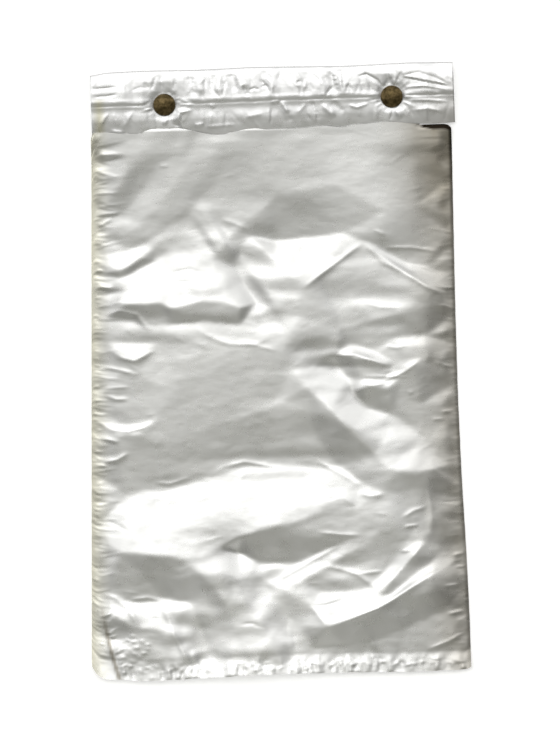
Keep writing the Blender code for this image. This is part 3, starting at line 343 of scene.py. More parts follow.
# Broad patches that lean a little: (percent across, percent down, half its size across and down in mm, rise
# for each mm towards the hem, turn in degrees). A positive rise climbs to the hem and catches the light.
LEANS = {
    "top_sag": (50, 10, 130, 90, -0.024, 0),
    "top_left": (6, 20.5, 14, 18, -0.040, 0),
    "fan_light": (27, 17, 38, 9, 0.024, 64),
    "fan_dark_left": (17, 14, 28, 10, -0.030, 68),
    "fan_dark_right": (42, 14, 34, 12, -0.018, 62),
    "fan_root_left": (35, 10.6, 16, 6, 0.050, 0),
    "fan_root_right": (58, 10.8, 10, 6, 0.030, 0),
    "right_shoulder": (84, 14, 18, 30, -0.020, 0),
    "shelf": (46, 23.5, 14, 12, 0.045, 0),
    "shelf_right": (60, 20, 18, 10, 0.025, 0),
    "left_cheek": (14, 25.5, 14, 8, 0.040, 0),
    "dark_stripe": (39, 32, 32, 6, -0.080, -58),
    "tent_shade": (75, 32.4, 28, 34, -0.080, -4),
    "tent_foot": (72, 36.5, 26, 10, -0.040, 0),
    "tent_top": (71, 29.6, 26, 10, -0.060, -6),
    "shelf_foot": (44, 30.6, 14, 10, -0.120, 0),
    "cheek_fold": (23, 28.4, 20, 8, -0.040, 12),
    "band_left": (16, 41.2, 22, 8, 0.080, 0),
    "band_middle": (31, 38.6, 24, 9, 0.125, 0),
    "band_right": (49, 37.6, 9, 7, 0.045, 0),
    "step_shade": (48, 41.2, 13, 7, -0.085, 0),
    "knoll": (64, 50.6, 22, 9, 0.080, 0),
    "ledge_light": (84, 65.0, 26, 11, 0.085, 0),
    "ledge_shade": (65, 68.6, 13, 7, -0.090, 0),
    "basin_lift": (36, 80.6, 30, 10, 0.080, 0),
    "ray_lift": (66, 84.0, 14, 7, 0.055, 0),
    "side_lift": (93, 83.4, 14, 14, 0.095, 0),
    "foot_middle": (44, 95.0, 34, 26, 0.085, 0),
    "foot_corner": (20, 95.4, 14, 8, 0.070, 0),
    "gusset_left": (26, 90.4, 9, 7, -0.050, 0),
    "cuff_stripe": (20.3, 91.6, 5, 9, 0.090, 0),
    "shelf_left": (31, 24.4, 14, 9, -0.070, 0),
    "apron_shade": (33, 31.8, 11, 8, -0.040, 0),
    "knee_light": (69, 53.0, 13, 8, 0.110, 0),
    "hook_light": (92.5, 50.5, 7, 6, 0.045, 0),
    "plateau_light": (88, 73.0, 16, 18, 0.065, 0),
    "seam_light": (6, 71, 9, 8, 0.045, 0),
    "right_corner": (90, 86.6, 10, 6, 0.050, 0),
    "hem_light": (42, 98.4, 30, 8, 0.085, 0),
    "left_side": (6, 47, 12, 8, -0.050, 0),
    "left_low": (5, 56, 12, 9, -0.050, 0),
    "middle_dip": (52, 35.6, 12, 7, -0.050, 0),
    "tent_side": (82, 37.6, 13, 7, -0.060, 0),
    "left_bank": (5, 37.8, 10, 6, -0.060, 0),
    "cuff_dip": (9, 98, 14, 7, -0.040, 0),
    "slope_dip": (60, 58.6, 14, 10, -0.050, 0),
    "tongue_light": (43, 89, 16, 24, 0.055, 0),
    "basin_low": (60, 88.5, 14, 18, 0.050, 0),
    "right_low": (91, 82, 13, 24, 0.055, 0),
    "rays_low": (79, 85.5, 18, 26, 0.030, 0),
    "brow_light": (29, 77.6, 13, 8, 0.060, 0),
    "lap_light": (56, 76, 16, 9, 0.045, 0),
    "wing_light": (92, 35.6, 10, 13, 0.045, 0),
    "apron_side": (38, 34.8, 7, 7, -0.060, 0),
    "left_fold": (8, 26, 10, 8, -0.070, 0),
    "cuff_ramp": (10, 92.8, 18, 10, 0.060, 0),
    "ray_middle": (23, 95.4, 6, 9, 0.100, 0),
    "ray_foot": (26.2, 98.4, 5, 5, 0.080, 0),
    "ray_gap": (31.5, 98.0, 6, 6, -0.070, 0),
    "band_soft": (22, 41.8, 34, 7, 0.060, 3),
    "tongue_foot": (43, 95.6, 20, 16, 0.060, 0),
    "gusset_foot": (38, 84.6, 10, 12, 0.060, 0),
    "wing_shade": (76, 41.0, 22, 9, -0.060, 0),
    "slope_light_2": (63.5, 50.6, 14, 8, 0.070, 0),
    "slope_end": (82, 61.4, 14, 8, 0.060, 0),
    "ledge_end": (87, 68.6, 16, 10, 0.060, 0),
    "ray_head": (88, 78.4, 12, 10, 0.065, 0),
    "gusset_neck": (38.5, 81.6, 11, 12, 0.045, 0),
    "ray_side": (28, 91.6, 8, 16, -0.050, 0),
    "ray_root": (79, 89.8, 12, 9, 0.050, 0),
    "basin_foot": (67, 92.4, 16, 9, 0.045, 0),
    "slope_foot": (80, 65.5, 17, 13, 0.050, 0),
    "gusset_side": (35.5, 80.2, 13, 14, 0.045, 0),
    "basin_left": (48.5, 93.6, 9, 11, 0.050, 0),
    "knot_foot": (42, 28.8, 7, 10, -0.045, 0),
    "ray_shadow": (26, 90.0, 12, 24, -0.045, 0),
    "tent_roof": (75, 27.5, 32, 40, -0.042, 0),
    "knee_slope": (65, 50.5, 18, 20, 0.050, 0),
    "gusset_slope": (36, 80.0, 18, 22, 0.045, 0),
    "ledge_slope": (80, 65.0, 22, 20, 0.050, 0),
    "side_slope": (88, 80.0, 14, 30, 0.050, 0),
    "top_slope": (30, 20.0, 66, 56, -0.016, 0),
    "belly_slope": (46, 44.5, 26, 14, -0.030, 0),
    "belly_edge": (50, 49.4, 10, 12, -0.035, 0),
    "wing_roof": (76, 39.5, 22, 22, -0.040, 0),
    "knee_foot": (66, 53.5, 14, 22, 0.045, 0),
    "ledge_foot": (82, 69.5, 20, 22, 0.050, 0),
    "gusset_bed": (38, 82.0, 12, 24, 0.040, 0),
    "ray_fan": (75, 80.5, 9, 14, 0.045, 0),
    "hem_side": (90, 86.0, 14, 14, 0.045, 0),
    "ray_dark": (28.5, 95.5, 7, 14, -0.045, 0),
    "basin_edge": (48.5, 94.0, 7, 16, 0.040, 0),
    "apron_roof": (26, 30.0, 34, 22, -0.025, 0),
    "knoll_head": (60, 47.3, 12, 12, 0.035, 0),
    "hook_roof": (80, 48.5, 14, 18, -0.030, 0),
    "ledge_brow": (80, 62.0, 14, 16, 0.050, 0),
    "ray_brow": (86, 77.0, 12, 16, 0.045, 0),
    "gusset_toe": (39, 85.0, 9, 16, 0.045, 0),
    "knee_toe": (69, 56.3, 10, 14, 0.040, 0),
    "left_notch": (8, 35, 9, 8, -0.170, 0),
    "left_lift": (9, 31.8, 14, 6, 0.075, 0),
    "beside_apron": (45, 34, 17, 24, 0.020, 0),
    "apron_foot": (22, 39.8, 56, 9, 0.090, 0),
    "left_dip": (6, 44.5, 10, 8, -0.050, 0),
    "middle_left": (38, 44.2, 40, 8, -0.045, 0),
    "middle": (50, 42, 30, 28, 0.012, 0),
    "middle_notch": (48, 40.5, 9, 7, -0.050, 0),
    "middle_right": (57, 38, 20, 8, 0.030, 0),
    "wing": (74, 44, 20, 6, 0.030, 0),
    "slope_head": (60, 48, 14, 10, 0.150, 0),
    "slope_knee": (72, 51.0, 20, 9, 0.110, 0),
    "slope_light": (76, 59, 45, 13, 0.060, -43),
    "slope_shade": (51, 52.6, 16, 10, -0.060, 0),
    "hook_shade": (88, 47.5, 14, 7, -0.080, 0),
    "right_dip": (92, 64, 8, 12, -0.050, 0),
    "lap_brow": (50, 65, 62, 7, 0.075, 0),
    "lap_brow_left": (20, 68.5, 14, 7, 0.050, 0),
    "knee": (79, 67, 28, 12, 0.050, 0),
    "lap_right": (60, 70, 32, 20, 0.040, 0),
    "lap_end": (63, 75.5, 24, 12, 0.080, 0),
    "under_lap": (50, 79, 34, 8, 0.040, 0),
    "plateau": (80, 73, 22, 28, 0.040, 0),
    "foot_sag": (50, 90, 125, 45, 0.036, 0),
    "gusset": (31, 85, 20, 28, 0.055, 0),
    "gusset_top": (35, 81.5, 16, 12, 0.070, 0),
    "tongue": (44, 88, 22, 30, 0.035, 0),
    "tongue_side": (40, 91, 14, 24, 0.050, 0),
    "basin": (62, 84, 30, 20, 0.030, 0),
    "basin_light": (66, 83, 14, 7, 0.080, 0),
    "between_rays": (80, 84, 22, 16, 0.035, 0),
    "right_end": (93, 83, 8, 10, 0.040, 0),
    "cuff_shade": (23, 89.5, 9, 7, -0.140, 0),
    "cuff_shade_left": (12, 89.5, 8, 5, -0.050, 0),
    "cuff_foot": (14, 94, 28, 12, 0.090, 0),
    "foot_left": (43, 95, 26, 10, 0.080, 0),
    "gusset_shade": (48, 83, 8, 5, -0.060, 0),
    "right_basin": (85, 80, 22, 8, 0.050, 0),
    "foot": (55, 93, 20, 16, 0.025, 0),
}


def colour_of(name, value, description):
    return FloatVectorProperty(name=name, subtype="COLOR", size=3, min=0.0, max=1.0, default=value,
                               description=description)


def length_of(name, value, most, description, least=0.0):
    return FloatProperty(name=name, default=value, min=least, max=most, unit="LENGTH",
                         description=description)


def count_of(name, value, least, most, description):
    return IntProperty(name=name, default=value, min=least, max=most, description=description)


def share_of(name, value, most, description):
    return FloatProperty(name=name, default=value, min=0.0, max=most, description=description)


class BagSettings(PropertyGroup):
    columns: count_of("Columns", 183, 60, 400, "Faces across the front panel, a multiple of three")
    rows: count_of("Rows", 420, 90, 600, "Faces down the front panel, a multiple of three")
    smoothing: count_of("Smoothing", 7, 0, 20, "Rounds of smoothing over the big folds")
    puckers: length_of("Puckers", 0.00026, 0.002, "Height of the short folds along the side welds")
    gathers: length_of("Gathers", 0.0006, 0.002, "Height of the crimps in the hem weld")
    crinkle: length_of("Crinkle", 0.00007, 0.001, "Height of the fine crinkles all over the film")
    hem_curl: length_of("Hem curl", 0.0021, 0.003, "How far the outer edge of the hem curls up")
    hem_rise: length_of("Hem rise", 0.0016, 0.005, "How far the film climbs to the middle of the hem")
    film: colour_of("Film", (0.57, 0.57, 0.555), "Colour of the clean film")
    # Paler colour that the film takes towards the hem
    paler: colour_of("Paler film", (0.80, 0.80, 0.785), "Film that grows paler towards the hem")
    seam: colour_of("Seam", (0.60, 0.58, 0.46), "Yellowed film along the left weld")
    # Darker brownish tone along the right side of the bag
    rim: colour_of("Rim", (0.24, 0.21, 0.155), "Darker brownish tone along the right weld")


class HeaderSettings(PropertyGroup):
    columns: count_of("Columns", 270, 60, 400, "Faces across the header")
    rows: count_of("Rows", 64, 12, 120, "Faces down one side of the header")
    film_gauge: length_of("Film gauge", 0.0002, 0.001, "Thickness of the header's film", 0.00005)
    crumples: length_of("Crumples", 0.00055, 0.002, "Height of the upright crumples")
    valley_fill: length_of("Valley fill", 0.00062, 0.003, "How far the frame's wide cross valley is filled")
    crease_depth: length_of("Crease depth", 0.00009, 0.002, "Depth of the narrow cross crease")
    hem_drop: length_of("Hem drop", 0.0009, 0.002, "How far the skirt's hem sinks towards the bag")
    upper_puff: share_of("Upper puff", 0.42, 1.0, "Share of the frame's puff kept above the cross crease")
    lower_puff: share_of("Lower puff", 0.22, 1.0, "Share of the frame's puff kept below the cross crease")
    film: colour_of("Film", (0.68, 0.68, 0.675), "Colour of the clean film")
    seam: colour_of("Seam", (0.60, 0.58, 0.46), "Yellowed film at the left end")


class StudSettings(PropertyGroup):
    steps: count_of("Steps", 72, 16, 128, "Steps round the turned cap")
    planish: share_of("Planish", 0.035, 0.1, "How deep the dome's flats are cut, as a share of its radius")
    bronze: colour_of("Bronze", (0.050, 0.035, 0.011), "Colour of the dark antique bronze")
    worn: colour_of("Worn bronze", (0.170, 0.122, 0.055), "Colour where the bronze is rubbed bright")


class StageSettings(PropertyGroup):
    view_height: length_of("View height", 0.4985, 2.0, "Height of the ground that the picture takes in", 0.1)
    camera_height: length_of("Camera height", 8.0, 20.0, "How high the camera stands above the bag", 1.0)
    glow: share_of("Glow", 0.5, 5.0, "Radiance that the softbox adds to the room's")
    room_light: share_of("Room light", 2.72, 5.0, "Radiance of the brightest part of the room")


def box_corners():
    """Straight corners of the lying bag, before its edges wave: top left, top right, hem left, hem right."""
    header_low, header_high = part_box("header_strip")
    bag_low, bag_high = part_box("bag")
    top = header_high.y - HEADER_BULGE
    return (Vector((header_low.x - HEADER_END_GAP[0], top)), Vector((header_high.x + HEADER_END_GAP[1], top)),
            Vector((bag_low.x - HEM_CORNER_GAP, bag_low.y)), Vector((bag_high.x, bag_low.y)))


CORNERS = box_corners()


def spot(across, down):
    """Place on the ground at a percentage across the bag and down it."""
    top_left, top_right, hem_left, hem_right = CORNERS
    u, v = across * PERCENT, down * PERCENT
    return top_left.lerp(top_right, u).lerp(hem_left.lerp(hem_right, u), v)


class Levels:
    """Upper and lower level of a CAD node's film at any place, and the reach of its outline."""

    def __init__(self, node):
        bm = bmesh.new()
        bm.from_mesh(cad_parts[node].data)
        bmesh.ops.remove_doubles(bm, verts=bm.verts[:], dist=1e-6)
        self.tree = BVHTree.FromBMesh(bm)
        self.ends = np.array([[v.co[:2] for v in edge.verts] for edge in bm.edges])
        bm.free()

    def level(self, x, y, side):
        """Level of the node's upper side (1) or lower side (-1), or None beside it.

        It looks three times, a little apart, so that no ray slips through a seam.
        """
        hits = [self.tree.ray_cast(Vector((x + step, y + step / 2, side)), Vector((0, 0, -side)))[0]
                for step in (0.0, 0.00004, -0.00004)]
        found = [hit.z * side for hit in hits if hit is not None]
        return max(found) * side if found else None

    def reach(self, value, axis):
        """Lowest and highest place of the outline along the other axis, on a line at this value."""
        first, last = self.ends[:, 0], self.ends[:, 1]
        crossing = (first[:, axis] - value) * (last[:, axis] - value) < 0
        a, b = first[crossing], last[crossing]
        share = (value - a[:, axis]) / (b[:, axis] - a[:, axis])
        places = a[:, 1 - axis] + (b[:, 1 - axis] - a[:, 1 - axis]) * share
        return places.min(), places.max()


def mesh_points(mesh):
    points = np.empty(len(mesh.vertices) * 3)
    mesh.vertices.foreach_get("co", points)
    return points.reshape(-1, 3)


def set_points(mesh, points):
    mesh.vertices.foreach_set("co", points.ravel())
    mesh.update()


def read_shares(mesh, *names):
    """The vertex attributes of these names, each as an array."""
    found = []
    for name in names:
        values = np.empty(len(mesh.vertices))
        mesh.attributes[name].data.foreach_get("value", values)
        found.append(values)
    return found


def grow(value, start, run):
    """0 up to the start, and from there straight up to 1 over the run."""
    return np.clip((value - start) / run, 0, 1)


def hump(value, middle, half):
    """1 at the middle, and a third of it at the half width to each side."""
    return np.exp(-np.abs((value - middle) / half) ** 3)


def path_distance(points, path):
    """Distance of each point from a path on the ground, and how far along the path it lies, from 0 to 1."""
    lengths = [(b - a).length for a, b in zip(path, path[1:])]
    total = sum(lengths)
    best = np.full(len(points), np.inf)
    share = np.zeros(len(points))
    walked = 0.0
    for a, b, length in zip(path, path[1:], lengths):
        run = np.array(b - a) / length
        offset = points[:, :2] - np.array(a)
        t = np.clip(offset @ run, 0, length)
        distance = np.hypot(*(offset - t[:, None] * run).T)
        closer = distance < best
        best[closer] = distance[closer]
        share[closer] = (walked + t[closer]) / total
        walked += length
    return best, share


def near_path(points, path, reach, fade):
    """Which points may lie within reach of a path, their distance from it, and how the fold on it fades.

    The fold fades out over these shares of the path's length at its start and end.
    """
    low = np.min([place[:] for place in path], axis=0) - reach
    high = np.max([place[:] for place in path], axis=0) + reach
    near = np.nonzero(((points[:, :2] > low) & (points[:, :2] < high)).all(axis=1))[0]
    distance, share = path_distance(points[near], path)
    return near, distance, grow(share, 0, fade[0]) * grow(1 - share, 0, fade[1])


def crease(points, lift, path, width, height, fade=(0.25, 0.25)):
    """Adds a ridge along a path."""
    reach = 2.2 * width
    near, distance, taper = near_path(points, path, reach, fade)
    profile = np.sqrt((distance / width) ** 2 + 0.04) - 0.2
    lift[near] += height * taper * np.exp(-1.6 * profile) * (distance < reach) * (1 - distance / reach)


def pleat(points, lift, path, width, height, fade=(0.2, 0.2)):
    """Adds a step along a path.

    The film on its left stands this much higher, and settles again further out.
    """
    near, distance, taper = near_path(points, path, 7 * width, fade)
    run = np.array(path[-1] - path[0])
    offset = points[near, :2] - np.array(path[0])
    side = np.sign(run[0] * offset[:, 1] - run[1] * offset[:, 0])
    profile = np.tanh(distance / width) * np.exp(-(distance / (3 * width)) ** 2)
    lift[near] += 0.5 * height * side * taper * profile


def add_listed(fold, points, lift, listed):
    """Adds creases or pleats from a list of paths in percent, with their widths and heights in mm."""
    for path, width, height in listed:
        fold(points, lift, [spot(*place) for place in path], width * MM, height * MM)


def lean(points, lift, middle, half_width, half_length, rise, turn):
    """Tips a patch so that it climbs towards the hem; the patch itself is turned by this many degrees."""
    offset = points[:, :2] - np.array(middle)
    turn = math.radians(turn)
    along = offset[:, 0] * math.cos(turn) + offset[:, 1] * math.sin(turn)
    across = offset[:, 1] * math.cos(turn) - offset[:, 0] * math.sin(turn)
    window = np.exp(-np.abs(along / half_width) ** 3 - np.abs(across / half_length) ** 3)
    lift -= offset[:, 1] * rise * window


def waves(points, scale, turn, seed, stretch):
    """Smooth uneven waves between about -1 and 1, drawn out along a direction."""
    rng = random.Random(seed)
    along = points[:, 0] * math.cos(turn) + points[:, 1] * math.sin(turn)
    across = points[:, 1] * math.cos(turn) - points[:, 0] * math.sin(turn)
    total = np.zeros(len(points))
    octaves = 4
    for octave in range(octaves):
        step = scale / 1.7 ** octave
        for _ in range(3):
            angle = rng.uniform(0, math.pi)
            phase = rng.uniform(0, 2 * math.pi)
            wave = along * math.cos(angle) / stretch + across * math.sin(angle)
            bend = np.sin(along / (3.1 * step) + rng.uniform(0, 6))
            bend += np.sin(across / (2.3 * step) + rng.uniform(0, 6))
            total += np.sin(2 * math.pi * wave / step + phase + 1.3 * bend) / 1.5 ** octave
    return total / (3 * sum(1 / 1.5 ** octave for octave in range(octaves)))


def share_layers(bm, *names):
    """Gives each vertex a number of its own under each of these names."""
    return [bm.verts.layers.float.new(name) for name in names]


def soften(bm, verts, rounds):
    for _ in range(rounds):
        bmesh.ops.smooth_vert(bm, verts=verts, factor=0.5, use_axis_z=True)


def new_piece(name, bm, finish, slot, *nodes):
    """Turns the bmesh into a piece that rides on the one body and stands for these nodes."""
    mesh = bpy.data.meshes.new(name)
    bm.to_mesh(mesh)
    bm.free()
    piece = bpy.data.objects.new(name, mesh)
    bpy.context.scene.collection.objects.link(piece)
    mesh.materials.append(finish)
    mesh.shade_smooth()
    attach(piece, "root")
    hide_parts(*nodes)
    return piece


class BagOutline:
    """Left, right, upper and lower edge of the bag's panel, read off the frame's own node."""

    def __init__(self, levels):
        self.levels = levels
        low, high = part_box("bag")
        self.hem_level = low.y
        self.mouth = high.y
        self.neck = levels.reach(high.y - NECK_DOWN, 1)
        self.top = (levels.reach(low.x + LEFT_SHOULDER_IN, 0)[1],
                    levels.reach(high.x - RIGHT_SHOULDER_IN, 0)[1] + SHOULDER_RISE)
        self.steps = np.linspace(low.y + HEM_CORNER_ZONE, min(self.top) - SHOULDER_ZONE, SIDE_STEPS)
        sides = [levels.reach(y, 1) for y in self.steps]
        self.left = self.evened([side[0] for side in sides])
        self.right = self.evened([side[1] for side in sides])

    def evened(self, values):
        """Takes most of the frame's coarse pleats out of a side."""
        window = np.ones(2 * EVENING + 1) / (2 * EVENING + 1)
        return np.convolve(np.pad(values, EVENING, mode="edge"), window, mode="valid")

    def sides(self, y):
        """Left and right end of the panel at y, carried on straight past the rounded corners."""
        return np.interp(y, self.steps, self.left), np.interp(y, self.steps, self.right)

    def place_across(self, y, share):
        """Place across the panel at y, kept just inside its two ends."""
        left, right = self.sides(y)
        return left + (right - left) * min(max(share, 0.002), 0.998)

    def hem(self, share):
        """Lower edge of the panel."""
        return self.levels.reach(self.place_across(self.hem_level, share), 0)[0]

    def shoulder(self, share):
        """Upper edge of the panel, which runs on level under the header between its two shoulders."""
        x = self.place_across(self.mouth, share)
        if x < self.neck[0] - MM:
            return self.levels.reach(x, 0)[1]
        if x > self.neck[1] + MM:
            return self.levels.reach(x, 0)[1] + SHOULDER_RISE
        blend = (x - self.neck[0]) / (self.neck[1] - self.neck[0])
        return self.top[0] + (self.top[1] - self.top[0]) * blend


def place_panel(bm, outline, verts):
    """Moves the vertices of a unit square into the bag's outline and keeps their shares of it."""
    across = bm.verts.layers.float["across"]
    down = bm.verts.layers.float["down"]
    ends = {}
    for vert in verts:
        s, t = vert.co.x + 0.5, 0.5 - vert.co.y
        key = round(s * 10000)
        if key not in ends:
            ends[key] = (outline.shoulder(s), outline.hem(s))
        top, hem = ends[key]
        y = top + (hem - top) * t
        left, right = outline.sides(y)
        vert.co = Vector((left + (right - left) * s, y, 0.0))
        vert[across] = s
        vert[down] = t


def lay(verts, levels, side, middle):
    """Sets each vertex to the level of the frame's node, looked up a hair inside the outline."""
    for vert in verts:
        inward = middle - vert.co
        inward.z = 0
        probe = vert.co + inward.normalized() * HAIR
        level = levels.level(probe.x, probe.y, side)
        if level is None:
            level = levels.tree.find_nearest(Vector((probe.x, probe.y, 0.0005)))[0].z
        vert.co.z = level


def side_puckers(points, lift, height):
    """Short folds that run inwards from the two side welds."""
    rng = random.Random(11)
    for side, inwards, count in ((0.0, 1, 118), (100.0, -1, 84)):
        for i in range(count):
            down = 11 + 86 * (i + rng.uniform(-0.4, 0.4)) / count
            length = rng.uniform(2.0, 5.0) + (rng.random() < 0.25) * rng.uniform(2, 6)
            slant = rng.uniform(-0.25, 0.35) * length * 0.6
            start = side + inwards * rng.uniform(0.8, 2.4)
            path = [spot(start, down), spot(start + inwards * length * 0.5, down + slant * 0.6),
                    spot(start + inwards * length, down + slant)]
            weight = rng.uniform(0.25, 1.0) * (1 if side == 0.0 else 0.6)
            crease(points, lift, path, rng.uniform(0.8, 1.3) * MM, height * weight, (0.15, 0.8))
    for side, inwards, count in ((0.0, 1, 190), (100.0, -1, 120)):
        for i in range(count):
            down = 9.5 + 88.5 * (i + rng.uniform(-0.45, 0.45)) / count
            start = side + inwards * rng.uniform(0.2, 1.2)
            path = [spot(start, down),
                    spot(start + inwards * rng.uniform(1.0, 2.2), down + rng.uniform(-0.3, 0.3))]
            weight = rng.uniform(0.3, 0.9) * (1 if side == 0.0 else 0.5)
            crease(points, lift, path, rng.uniform(0.7, 1.1) * MM, height * weight, (0.2, 0.5))


def hem_gathers(points, lift, height):
    """Crimps in the hem weld, leaning this way and that."""
    rng = random.Random(23)
    count = 150
    bottom = 99.8
    for i in range(count):
        across = 7 + 92 * (i + rng.uniform(-0.5, 0.5)) / count
        lean_share = rng.uniform(-1.3, 0.5)
        top = rng.choice((97.0, 97.2, 97.6, 96.4, 98.0))
        path = [spot(across + lean_share, top), spot(across, (top + bottom) / 2 + rng.uniform(-0.3, 0.3)),
                spot(across + rng.uniform(-0.5, 0.5), bottom)]
        crease(points, lift, path, rng.uniform(0.8, 1.5) * MM, height * rng.uniform(-0.6, 1.0), (0.3, 0.1))
    count = 46
    for i in range(count):
        across = 8 + 90 * (i + rng.uniform(-0.5, 0.5)) / count
        path = [spot(across, rng.uniform(97.2, 99.0)),
                spot(across + rng.uniform(0.8, 2.2), rng.uniform(97.2, 99.2))]
        crease(points, lift, path, rng.uniform(0.8, 1.3) * MM, height * rng.uniform(0.3, 0.8), (0.3, 0.3))


def corner_crimps(points, lift, height):
    """Little pleats that stand square to the slanting weld at the lower left corner."""
    rng = random.Random(31)
    count = 34
    for i in range(count):
        t = i / (count - 1)
        across = 3.0 + 5.4 * t + rng.uniform(-0.2, 0.2)
        down = 88 + 10.5 * t + rng.uniform(-0.2, 0.2)
        reach = rng.uniform(0.8, 2.6)
        path = [spot(across, down), spot(across + reach, down - reach * rng.uniform(0.1, 0.9))]
        crease(points, lift, path, rng.uniform(0.8, 1.3) * MM, height * rng.uniform(0.4, 1.0), (0.1, 0.5))
    for _ in range(26):
        across, down = rng.uniform(7, 15), rng.uniform(92.5, 97)
        turn = rng.uniform(-1.0, 1.4)
        path = [spot(across, down), spot(across + 1.4 * math.cos(turn), down + 1.0 * math.sin(turn))]
        crease(points, lift, path, rng.uniform(0.9, 1.5) * MM, height * rng.uniform(0.3, 0.9), (0.3, 0.3))


def fine_creases(points, lift):
    """Faint straight scratches and creases that cross the panel's lower and middle parts."""
    rng = random.Random(47)
    for _ in range(190):
        across, down = rng.uniform(6, 94), 100 * rng.betavariate(2.0, 1.5)
        if down < 16 or down > 96:
            continue
        turn = rng.gauss(0.0, 0.5) + (0.4 if across > 50 else -0.1)
        length = rng.uniform(2, 7)
        path = [spot(across, down),
                spot(across + length * math.cos(turn), down - length * 0.62 * math.sin(turn))]
        crease(points, lift, path, rng.uniform(1.2, 2.4) * MM, rng.uniform(-0.06, 0.11) * MM, (0.4, 0.4))


def paint(mesh, name, values):
    """Keeps a mask on the mesh for its material to read."""
    layer = mesh.attributes.new(name, "FLOAT", "POINT")
    layer.data.foreach_set("value", np.asarray(values, dtype=np.float32))


class FILMBAG_OT_bag(Operator):
    """Drape the front and back panel over the frame's bag and crumple them"""

    bl_idname = "filmbag.bag"
    bl_label = "Build bag"

    def execute(self, context):
        settings = context.scene.film_bag
        levels = Levels("bag")
        outline = BagOutline(levels)
        bm = bmesh.new()
        share_layers(bm, "across", "down", "back")
        middle = sum(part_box("bag"), Vector()) / 2
        self.back_panel(bm, outline, settings, levels, middle)
        front = bmesh.ops.create_grid(bm, x_segments=settings.columns, y_segments=settings.rows,
                                      size=0.5)["verts"]
        place_panel(bm, outline, front)
        lay(front, levels, 1, middle)
        soften(bm, [v for v in front if not v.is_boundary], settings.smoothing)
        self.join_rim(bm, front, levels, middle)
        self.raise_neck(bm, outline)
        bmesh.ops.recalc_face_normals(bm, faces=bm.faces[:])
        finish = film_material("clear_film", settings.film, settings.paler, settings.seam, settings.rim)
        piece = new_piece("bag_film", bm, finish, "clear_film", "bag")
        self.crumple(piece.data, settings)
        piece.data.set_sharp_from_angle(angle=math.radians(60))
        return {"FINISHED"}

    def back_panel(self, bm, outline, settings, levels, middle):
        """Coarse panel on the ground side, its rim cut as finely as the front's."""
        made = bmesh.ops.create_grid(bm, x_segments=settings.columns // BACK_STEP,
                                     y_segments=settings.rows // BACK_STEP, size=0.5)["verts"]
        edges = {e for v in made for e in v.link_edges if e.is_boundary}
        bmesh.ops.subdivide_edges(bm, edges=list(edges), cuts=BACK_STEP - 1)
        place_panel(bm, outline, bm.verts)
        self.lay_back(bm, bm.verts, levels, middle)

    def join_rim(self, bm, front, levels, middle):
        """Turns the front's rim down to the back's level and welds the two together."""
        edges = {e for v in front for e in v.link_edges if e.is_boundary}
        rim = bmesh.ops.extrude_edge_only(bm, edges=list(edges))["geom"]
        rim = [g for g in rim if isinstance(g, bmesh.types.BMVert)]
        self.lay_back(bm, rim, levels, middle)
        bmesh.ops.remove_doubles(bm, verts=[v for v in bm.verts if v.is_boundary], dist=2e-6)

    def lay_back(self, bm, verts, levels, middle):
        """Sets vertices to the back's level and marks them as the back's."""
        lay(verts, levels, -1, middle)
        flag = bm.verts.layers.float["back"]
        for vert in verts:
            vert[flag] = 1.0

    def raise_neck(self, bm, outline):
        """Draws the top of the bag out between the shoulders, up to its open mouth inside the header."""
        down = bm.verts.layers.float["down"]
        left, right = outline.neck
        ledge = [f for f in bm.faces if all(v[down] < 1e-6 for v in f.verts)
                 and all(left - MM < v.co.x < right + MM for v in f.verts)]
        steps = 3
        for step in range(steps):
            made = bmesh.ops.extrude_face_region(bm, geom=ledge)["geom"]
            bmesh.ops.delete(bm, geom=[f for f in ledge if f.is_valid], context="FACES_ONLY")
            ledge = [g for g in made if isinstance(g, bmesh.types.BMFace)]
            for vert in {v for face in ledge for v in face.verts}:
                vert.co.y += (outline.mouth - vert.co.y) / (steps - step)

    def crumple(self, mesh, settings):
        """Adds everything finer than the frame's folds to the front, and soft waves to the back."""
        points = mesh_points(mesh)
        s, t, back = read_shares(mesh, "across", "down", "back")
        lift = np.zeros(len(points))
        for across, down, half_width, half_length, rise, turn in LEANS.values():
            lean(points, lift, spot(across, down), half_width * MM, half_length * MM, rise, turn)
        add_listed(crease, points, lift, CREASES.values())
        climb = grow(t, *HEM_CLIMB) * hump(s, *HEM_CLIMB_PLACE)
        lift += settings.hem_rise * climb
        side_puckers(points, lift, settings.puckers)
        corner_crimps(points, lift, 1.7 * settings.puckers)
        fine_creases(points, lift)
        open_film = grow(np.minimum(np.minimum(s, 1 - s), np.minimum(t, 1 - t)), 0, CALM_RIM)
        wave = waves(points, scale=0.021, turn=0.25, seed=5, stretch=2.2)
        wave += 0.6 * waves(points, scale=0.009, turn=-0.4, seed=6, stretch=1.6)
        lift += settings.crinkle * wave * open_film * (0.6 + 0.9 * t)
        hem_gathers(points, lift, settings.gathers)
        lift += settings.hem_curl * grow(t, *HEM_CURL) ** 1.2
        fade = SKIRT_FADE + (RIGHT_SKIRT_FADE - SKIRT_FADE) * grow(s, *RIGHT_FADE)
        lift *= grow(t, 0, fade)
        front = back < 0.5
        lowest = np.minimum(points[:, 2], np.where(t < fade, points[:, 2], LOWEST_PANEL))
        points[front, 2] = np.maximum(points[front, 2] + lift[front], lowest[front])
        back_wave = 0.00025 * (1 + waves(points, scale=0.06, turn=0.6, seed=8, stretch=1.5)) * open_film
        under = ~front & (t > 0.05)
        points[under, 2] += back_wave[under]
        self.lift_edges(points, s, t, front, under)
        set_points(mesh, points)
        self.stains_and_shade(mesh, points, s, t)

